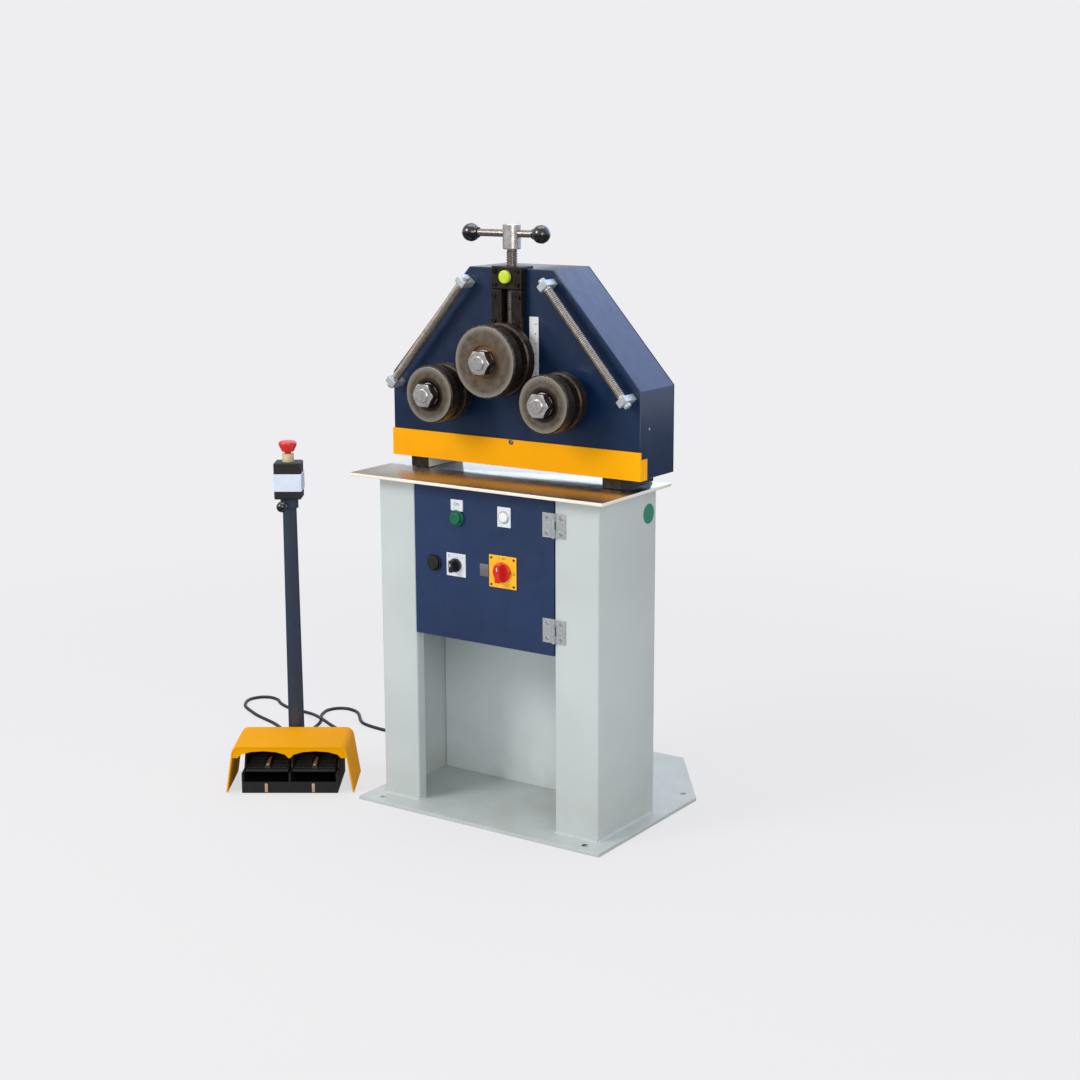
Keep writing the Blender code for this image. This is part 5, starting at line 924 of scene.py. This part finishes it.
secondLooks = (
    # node, finish, which faces get it, by their centre and normal
    # the table plate's edges: painted reflection of the pale floor
    ("table_plate", "edge", lambda centre, normal: normal.z < 0.5),
    ("foot_hood", "hood", lambda centre, normal: True),
    # the panel in the bay: a lighter grey, painted light
    ("stand_back_panel", "panel", lambda centre, normal: True),
    # the feet's inner sides: painted reflection of the bright wall seen through the gap under the head
    ("head_foot_left", "edge", lambda centre, normal: normal.x > 0.9),
    ("head_foot_right", "edge", lambda centre, normal: normal.x < -0.9),
    # the legend plate above the start button
    ("start_bezel", "pale_plastic", lambda centre, normal: centre.z > 0.6638),
    ("pilot_lamp", "lens", lambda centre, normal: centre.y < -0.2609),
    # the control box's middle band, the stop button's neck and the clamp collar
    ("control_box", "pale_blue", lambda centre, normal: 0.6495 < centre.z < 0.6895),
    ("control_box", "cream", lambda centre, normal: centre.z > 0.7145),
    ("control_box", "post", lambda centre, normal: centre.z < 0.6318),
    # the cord's gland
    ("stand_left_column", "black_plastic", lambda centre, normal: centre.y > -0.0349),
    ("t_bar", "greased", lambda centre, normal: True),
)
for node, kind, picked in secondLooks:
    paintFaces(node, kind, picked)
for roll in rolls:
    paintFaces(roll + "_roll_front", "roll_side_and_shade", lambda centre, normal: normal.y > -0.9)
    paintFaces(roll + "_roll_rear", "roll_side_and_shade", lambda centre, normal: True)
    # the nuts are faced bright in front; their flats are painted dark: painted shade for the dark ring round
    # each nut
    paintFaces(roll + "_nut", "roll_side_and_shade", lambda centre, normal: abs(normal.y) < 0.5)
print("second materials set")


# Printed marks: plain figures, ON and OFF, a few hundredths of a millimetre thick
def addText(name, words, place, height, body):
    data = bpy.data.curves.new(name, "FONT")
    data.body = words
    data.size = height
    data.align_x = "CENTER"
    data.align_y = "CENTER"
    data.extrude = 0.04 * mm
    data.materials.append(materials["ink"])
    piece = bpy.data.objects.new(name, data)
    piece.matrix_world = Matrix.Translation(place) @ Matrix.Rotation(math.radians(90), 4, "X")
    scene.collection.objects.link(piece)
    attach(piece, body)


doorMarks = {
    "front": -260.85 * mm,
    "marks": {
        # name: words, x, z, height of the letters
        "startLegendOn": ("ON", -0.069, 0.6755, 9 * mm),
        "selectorOff": ("0", -0.0905, 0.5640, 7 * mm),
        "selectorOn": ("1", -0.0545, 0.5640, 7 * mm),
        "switchOn": ("I  ON", 0.046, 0.5745, 6.5 * mm),
        "switchOff": ("0\nOFF", 0.0735, 0.5460, 4.6 * mm),
    },
}
for name, (words, x, z, height) in doorMarks["marks"].items():
    addText(name, words, (x, doorMarks["front"], z), height, "door")

ruleMarks = {
    "left": 46 * mm, "front": -159.8 * mm, "from": 0.9345, "count": 25, "every": 5 * mm,
    "line": 0.3 * mm, "margin": 0.6 * mm, "long": 8 * mm, "short": 5 * mm,
    # a figure in millimetres at every fourth line, from the third on
    "firstFigure": 2, "figureEvery": 4, "figureIn": 15 * mm, "figureHeight": 5.2 * mm,
}


def addRuleMarks(values):
    left, front, half = values["left"], values["front"], values["line"] / 2
    drawn = bmesh.new()
    for index in range(values["count"]):
        height = values["from"] + index * values["every"]
        reach = values["short"] if index % 2 else values["long"]
        low = (left + values["margin"], front - 0.05 * mm, height - half)
        slab(drawn, low, (left + reach, front + 0.2 * mm, height + half), 0)
        if index % values["figureEvery"] == values["firstFigure"]:
            figure = str(round(index * values["every"] / mm))
            place = (left + values["figureIn"], front - 0.02 * mm, height)
            addText("ruleFigure" + figure, figure, place, values["figureHeight"], "frame")
    addPiece("ruleMarks", drawn, materials["ink"], "frame")


addRuleMarks(ruleMarks)
print("marks printed")


# Small fittings: bezels and a bare plate on the door, the ends of the hinge pins, a disc on the right column
fittings = {
    "doorFace": -257.5 * mm,
    "bezels": {
        # name: finish, x and z, inner and outer radius, how far it stands out
        "jogBezel": ("black_plastic", (-0.130, 0.545), 15.1 * mm, 17.4 * mm, 4.2 * mm),
        "lampBezel": ("zinc", (0.050, 0.661), 11.15 * mm, 13.0 * mm, 5.0 * mm),
    },
    "barePlate": {"left": -13 * mm, "right": 9 * mm, "low": 531 * mm, "high": 557 * mm, "thick": 0.8 * mm},
    "hingePins": {
        "x": 0.171, "y": -0.2615, "radius": 1.9 * mm, "stands": 1.2 * mm,
        "ends": ((0.414, -1), (0.464, 1), (0.632, -1), (0.682, 1)),
    },
    "greenDisc": {"place": (0.276, -0.066, 0.661), "radius": 21 * mm, "thick": 0.35 * mm},
}


def ringOn(drawn, matrix, inner, outer, stands):
    edge = min(0.6 * mm, (outer - inner) / 3)
    profile = [
        (outer, 0), (outer, stands - edge), (outer - edge, stands),
        (inner + edge, stands), (inner, stands - edge), (inner, 0),
    ]
    turned(drawn, profile, matrix, 64, closed=True)


def addFittings(values):
    face = values["doorFace"]
    sunk = 0.2 * mm
    for name, (kind, (x, z), inner, outer, stands) in values["bezels"].items():
        drawn = bmesh.new()
        ringOn(drawn, facing((x, face - sunk, z), (0, -1, 0)), inner, outer, stands)
        addPiece(name, drawn, materials[kind], "door")
    size = values["barePlate"]
    drawn = bmesh.new()
    low = (size["left"], face - size["thick"], size["low"])
    slab(drawn, low, (size["right"], face + sunk, size["high"]), 0.3 * mm)
    addPiece("bareDoorPlate", drawn, materials["bare_plate"], "door")
    size = values["hingePins"]
    radius, stands = size["radius"], size["stands"]
    drawn = bmesh.new()
    for z, way in size["ends"]:
        profile = [(radius, -2 * mm), (radius, stands - 0.4 * mm), (radius - 0.5 * mm, stands)]
        turned(drawn, profile, facing((size["x"], size["y"], z), (0, 0, way)), 20)
    addPiece("hingePinEnds", drawn, materials["bright_steel"], "frame")
    size = values["greenDisc"]
    radius, thick = size["radius"], size["thick"]
    drawn = bmesh.new()
    profile = [(radius, -0.1 * mm), (radius, thick - 0.1 * mm), (radius - 0.15 * mm, thick)]
    turned(drawn, profile, facing(size["place"], (1, 0, 0)), 64)
    addPiece("greenDisc", drawn, materials["green_film"], "frame")


addFittings(fittings)
print("door fittings set")


# Foot station: anti-slip ribs, pale strips painted as glints on the pedals and as reflections on the base's
# lip, and cover screws, drawn in the station's own frame
station = {
    "place": (-0.462, -0.361, 0),
    "turn": 33.5,
    "ribs": {
        "from": 22 * mm, "to": 98 * mm, "every": 8 * mm, "width": 3 * mm, "stands": 1.2 * mm, "sunk": 1 * mm,
        "spans": ((9 * mm, 43.5 * mm), (60.5 * mm, 95 * mm)),
    },
    # each pedal's tread rises from its toe to its pivot
    "treadle": {"toe": 10 * mm, "toeZ": 50 * mm, "pivot": 118 * mm, "pivotZ": 58 * mm},
    # pale strips: painted glints along the pedals' middles, and painted reflections of them on the base's lip
    "strip": {
        "u": 52 * mm, "half": 3.2 * mm, "above": 4.2 * mm, "thick": 3.2 * mm, "rib": (24 * mm, 80 * mm),
        "lipFront": -4.5 * mm, "lipBack": -3.5 * mm, "lip": (3 * mm, 23 * mm),
    },
    "boxScrews": {"u": (-0.031, 0.019), "v": 0.1428, "z": (0.6535, 0.6855), "radius": 2.1 * mm},
}
stationFrame = Matrix.Translation(station["place"]) @ Matrix.Rotation(math.radians(station["turn"]), 4, "Z")


def alongTreadle(values, v):
    share = (v - values["toe"]) / (values["pivot"] - values["toe"])
    return values["toeZ"] + share * (values["pivotZ"] - values["toeZ"])


def addPedalDetails(values):
    ribs, strip, tread = values["ribs"], values["strip"], values["treadle"]
    for side, name in ((-1, "Left"), (1, "Right")):
        body = "pedal_" + name.lower()
        drawn = bmesh.new()
        v = ribs["from"]
        while v <= ribs["to"]:
            z = alongTreadle(tread, v)
            for low, high in ribs["spans"]:
                first, last = sorted((side * low, side * high))
                far = (last, v + ribs["width"], z + ribs["stands"])
                slab(drawn, (first, v, z - ribs["sunk"]), far, 0.5 * mm, stationFrame)
            v += ribs["every"]
        addPiece("pedalRibs" + name, drawn, materials["black_plastic"], body)
        left, right = side * strip["u"] - strip["half"], side * strip["u"] + strip["half"]
        start, end = strip["rib"]
        z = alongTreadle(tread, start) + strip["above"]
        drawn = bmesh.new()
        slab(drawn, (left, start, z), (right, end, z + strip["thick"]), 0.4 * mm, stationFrame)
        addPiece("pedalGlintStrip" + name, drawn, materials["tan"], body)
        low, high = strip["lip"]
        drawn = bmesh.new()
        slab(drawn, (left, strip["lipFront"], low), (right, strip["lipBack"], high), 0.15 * mm, stationFrame)
        addPiece("baseReflectionStrip" + name, drawn, materials["tan"], "frame")


def addBoxScrews(size):
    # small heads with a square recess, in the control box's band
    radius = size["radius"]
    profile = [(radius, -1 * mm), (radius, 0.4 * mm), (radius * 0.6, 0.9 * mm)]
    profile += [(0.8 * mm, 0.9 * mm), (0.7 * mm, 0.2 * mm)]
    drawn = bmesh.new()
    for index, (u, z) in enumerate((u, z) for u in size["u"] for z in size["z"]):
        matrix = stationFrame @ facing((u, size["v"], z), (0, -1, 0), 0.7 * index)
        turned(drawn, profile, matrix, 20, (0, 0, 0, 4, 4))
    addPiece("bandScrews", drawn, materials["zinc"], "frame")


addPedalDetails(station)
addBoxScrews(station["boxScrews"])
print("foot station detailed")


# Strain reliefs: a ribbed nylon boot tapers from each gland's nut down to the cord
reliefs = {
    "stand": {"nut": 12.2 * mm, "nutLength": 8 * mm, "length": 32.5 * mm},
    "standAt": (-0.245, -34.8 * mm, 0.110),
    "station": {"nut": 9.6 * mm, "nutLength": 8 * mm, "length": 47 * mm},
    "stationAt": (-0.045, 0.145, 0.020),
    # radius at the nut and at the cord, and how many ribs there are with how deep a groove between them
    "sleeve": 8.3 * mm, "tip": 5.2 * mm, "rings": 7, "groove": 0.9 * mm,
}


def addRelief(name, matrix, size, values):
    drawn = bmesh.new()
    nut, along = size["nut"], size["nutLength"]
    turned(drawn, [(nut, 0), (nut, along - 1 * mm), (nut * 0.86, along)], matrix, 48, (6, 6, 0))
    profile = [(values["sleeve"] - 1 * mm, along - 0.5 * mm)]
    span = (size["length"] - along) / values["rings"]
    for ring in range(values["rings"]):
        outer = values["sleeve"] + (values["tip"] - values["sleeve"]) * ring / (values["rings"] - 1)
        inner = outer - values["groove"]
        start = along + ring * span
        profile += [(outer, start), (outer, start + span * 0.6)]
        profile += [(inner, start + span * 0.7), (inner, start + span * 0.95)]
    # the last rib ends the boot, so the groove after it is left off
    turned(drawn, profile[:-2], matrix, 32)
    addPiece(name, drawn, materials["black_plastic"], "frame")


standEnd, stationEnd = (facing(reliefs[end], (0, 1, 0)) for end in ("standAt", "stationAt"))
addRelief("standRelief", standEnd, reliefs["stand"], reliefs)
addRelief("stationRelief", stationFrame @ stationEnd, reliefs["station"], reliefs)
print("strain reliefs set")


# Gearmotor: cooling fins along the motor, a slotted fan cover and rings where its castings meet
motor = {
    "axis": (0, 0.897), "radius": 48 * mm,
    "fins": {
        "count": 30, "from": 52 * mm, "to": 124 * mm, "width": 1.8 * mm, "stands": 4.2 * mm,
        "clearBelow": -0.72,  # cosine of the angle from which the terminal box leaves no room
    },
    "cover": {
        "from": 126 * mm, "to": 155.6 * mm, "radius": 51.5 * mm, "hub": 4 * mm,
        "slots": (12 * mm, 20 * mm, 28 * mm, 36 * mm), "slotWidth": 2.2 * mm, "slotDepth": 0.4 * mm,
    },
    "seams": {"at": (8 * mm, 44 * mm), "radius": 56.2 * mm},
}


def addMotorDetails(values):
    x, z = values["axis"]
    size = values["fins"]
    drawn = bmesh.new()
    for index in range(size["count"]):
        angle = math.tau * (index + 0.5) / size["count"]
        # no fins under the terminal box, which stands to the left
        if math.cos(angle) < size["clearBelow"]:
            continue
        spin = Matrix.Translation((x, 0, z)) @ Matrix.Rotation(angle, 4, "Y")
        half = size["width"] / 2
        foot = (values["radius"] - 1 * mm, size["from"], -half)
        slab(drawn, foot, (values["radius"] + size["stands"], size["to"], half), 0.5 * mm, spin)
    addPiece("motorFins", drawn, materials["motor_paint"], "frame")
    size = values["cover"]
    long, outer, half = size["to"] - size["from"], size["radius"], size["slotWidth"] / 2
    floor = long - size["slotDepth"]
    profile = [(outer, 0), (outer, long - 6 * mm)]
    profile += [(outer - 1.8 * mm, long - 1.8 * mm), (outer - 6 * mm, long)]
    for slot in reversed(size["slots"]):
        profile += [(slot + half, long), (slot + half, floor), (slot - half, floor), (slot - half, long)]
    drawn = bmesh.new()
    turned(drawn, profile + [(size["hub"], long)], facing((x, size["from"], z), (0, 1, 0)), 72)
    addPiece("motorFanCover", drawn, materials["motor_paint"], "frame")
    outer = values["seams"]["radius"]
    ring = [(outer - 1 * mm, -2.2 * mm), (outer, -1.6 * mm), (outer, 1.6 * mm), (outer - 1 * mm, 2.2 * mm)]
    drawn = bmesh.new()
    for y in values["seams"]["at"]:
        turned(drawn, ring, facing((x, y, z), (0, 1, 0)), 72)
    addPiece("motorSeams", drawn, materials["motor_paint"], "frame")


addMotorDetails(motor)
print("gearmotor detailed")


# Behind the door: contactors above, relays below, on a zinc rail each, with terminals and a face of their own
equipment = {
    "rows": ((0.620, 4, "contactor", "pale_plastic"), (0.480, 3, "relay", "black_plastic")),
    "first": -128 * mm, "step": 56 * mm, "wide": 45 * mm, "front": -140.3 * mm, "tall": 75 * mm,
    "railFront": -75.3 * mm, "railThick": 6 * mm, "slack": 0.5 * mm,
    # the raised face, inside the block's sides; the toggle in its middle, the label plate above that
    "face": {"inset": 4 * mm, "half": 17 * mm, "stands": 7 * mm, "sunk": 1 * mm},
    "toggle": {"half": 5 * mm, "front": 10.5 * mm, "back": 6 * mm},
    "label": {
        "left": 6 * mm, "right": 19 * mm, "low": 9 * mm, "high": 14 * mm,
        "front": 7.3 * mm, "back": 6.8 * mm,
    },
    # terminals in a row above and below the face, with a ridge between them so that no bare wires meet
    "terminals": {"away": 29 * mm, "across": (-10 * mm, 0, 10 * mm)},
    "ridges": {
        "across": (-15 * mm, -5 * mm, 5 * mm, 15 * mm), "half": 0.7 * mm,
        "stands": 2.6 * mm, "sunk": 0.5 * mm, "low": 8 * mm, "high": 8 * mm,
    },
}


def addBlock(drawn, toggles, screws, left, height, values):
    front, middle = values["front"], left + values["wide"] / 2
    face, toggle, label, ridges = (values[part] for part in ("face", "toggle", "label", "ridges"))
    low = (left + face["inset"], front - face["stands"], height - face["half"])
    high = (left + values["wide"] - face["inset"], front + face["sunk"], height + face["half"])
    slab(drawn, low, high, 1.2 * mm)
    for rise in (-1, 1):
        row = height + rise * values["terminals"]["away"]
        for across in ridges["across"]:
            x = middle + across
            low = (x - ridges["half"], front - ridges["stands"], row - ridges["low"])
            slab(drawn, low, (x + ridges["half"], front + ridges["sunk"], row + ridges["high"]), 0.2 * mm)
        screws += [((middle + across, front, row), (0, -1, 0)) for across in values["terminals"]["across"]]
    half = toggle["half"]
    low = (middle - half, front - toggle["front"], height - half)
    slab(toggles, low, (middle + half, front - toggle["back"], height + half), 0.6 * mm)
    low = (left + label["left"], front - label["front"], height + label["low"])
    slab(toggles, low, (left + label["right"], front - label["back"], height + label["high"]), 0)


def addEquipment(values):
    rail, slack = values["railFront"], values["slack"]
    screws = []
    for height, count, kind, toggleFinish in values["rows"]:
        reach = values["tall"] / 2 + 2 * slack
        paintFaces(
            "cabinet_equipment", kind,
            lambda centre, normal: centre.y < rail - slack and abs(centre.z - height) < reach,
        )
        drawn, toggles = bmesh.new(), bmesh.new()
        for index in range(count):
            left = values["first"] + index * values["step"]
            addBlock(drawn, toggles, screws, left, height, values)
        addPiece(kind + "Faces", drawn, materials[kind], "frame")
        addPiece(kind + "Toggles", toggles, materials[toggleFinish], "frame")
    paintFaces(
        "cabinet_equipment", "zinc",
        lambda centre, normal: rail - slack <= centre.y < rail + values["railThick"],
    )
    addScrews("terminalScrews", "terminalScrew", screws, "zinc", "frame")


addEquipment(equipment)
print("cabinet equipment set")


# Pointer marks filled with white paint on the two knobs
pointers = {
    "front": -281.92 * mm,
    "back": -281.6 * mm,
    "marks": {
        # name: body, x, z, width, height
        "selectorPointer": ("selector", -72.5 * mm, 0.5495, 1.4 * mm, 7 * mm),
        "switchPointer": ("main_switch", 46 * mm, 0.5555, 1.8 * mm, 8 * mm),
    },
}
for name, (body, x, z, wide, tall) in pointers["marks"].items():
    drawn = bmesh.new()
    low = (x - wide / 2, pointers["front"], z - tall / 2)
    slab(drawn, low, (x + wide / 2, pointers["back"], z + tall / 2), 0)
    addPiece(name, drawn, materials["white_ink"], body)
print("knobs marked")


# Fillet welds round the foot of each column: it is a bent sheet, open towards the bay, so only its
# outer wall, its front and the short return behind that stand on the base plate
welds = {
    "leg": 4.2 * mm, "sunk": 0.2 * mm, "pitch": 3.2 * mm, "ripple": 0.14, "step": 1.1 * mm, "floor": 8 * mm,
    "front": -256 * mm, "back": -41 * mm, "return": 24 * mm,
    "left": (-276 * mm, -182 * mm), "right": (276 * mm, 171 * mm),  # outer wall, return
}


def weldRun(drawn, corners, values):
    # a bead along the corners, its size rising and falling with every weld pool
    up, sunk = Vector((0, 0, 1)), values["sunk"]
    for first, second in zip(corners, corners[1:]):
        along = second - first
        steps = int(along.length / values["step"])
        away = along.normalized().cross(up)
        rows = []
        for step in range(steps + 1):
            share = step / steps
            swell = 1 + values["ripple"] * math.sin(math.tau * share * along.length / values["pitch"])
            # smaller over the first and last steps, where the arc is struck and broken
            ends = min(1, step / 3 + 0.4, (steps - step) / 3 + 0.4)
            leg = values["leg"] * swell * ends
            spot = first.lerp(second, share)
            row = [spot - up * sunk - away * sunk]
            # a little flatter than a quarter round
            for turn, reach in ((0, 1), (30, 0.86), (60, 0.86), (90, 1)):
                angle = math.radians(turn)
                row.append(spot + (away * math.cos(angle) + up * math.sin(angle)) * leg * reach)
            rows.append([drawn.verts.new(point) for point in row])
        for low, high in zip(rows, rows[1:]):
            for index in range(len(low)):
                after = (index + 1) % len(low)
                drawn.faces.new((low[index], low[after], high[after], high[index]))
        drawn.faces.new(rows[0])
        drawn.faces.new(rows[-1])


def addWelds(values):
    front, back = values["front"], values["back"]
    bent = front + values["return"]
    drawn = bmesh.new()
    for side in ("left", "right"):
        outer, inner = values[side]
        outline = [(outer, back), (outer, front), (inner, front), (inner, bent)]
        # seen from above both runs go anticlockwise, so that each bead lies outside its column
        if side == "right":
            outline.reverse()
        weldRun(drawn, [Vector((x, y, values["floor"])) for x, y in outline], values)
    addPiece("columnWelds", drawn, materials["stand_paint"], "frame", 50)


addWelds(welds)
print("columns welded")
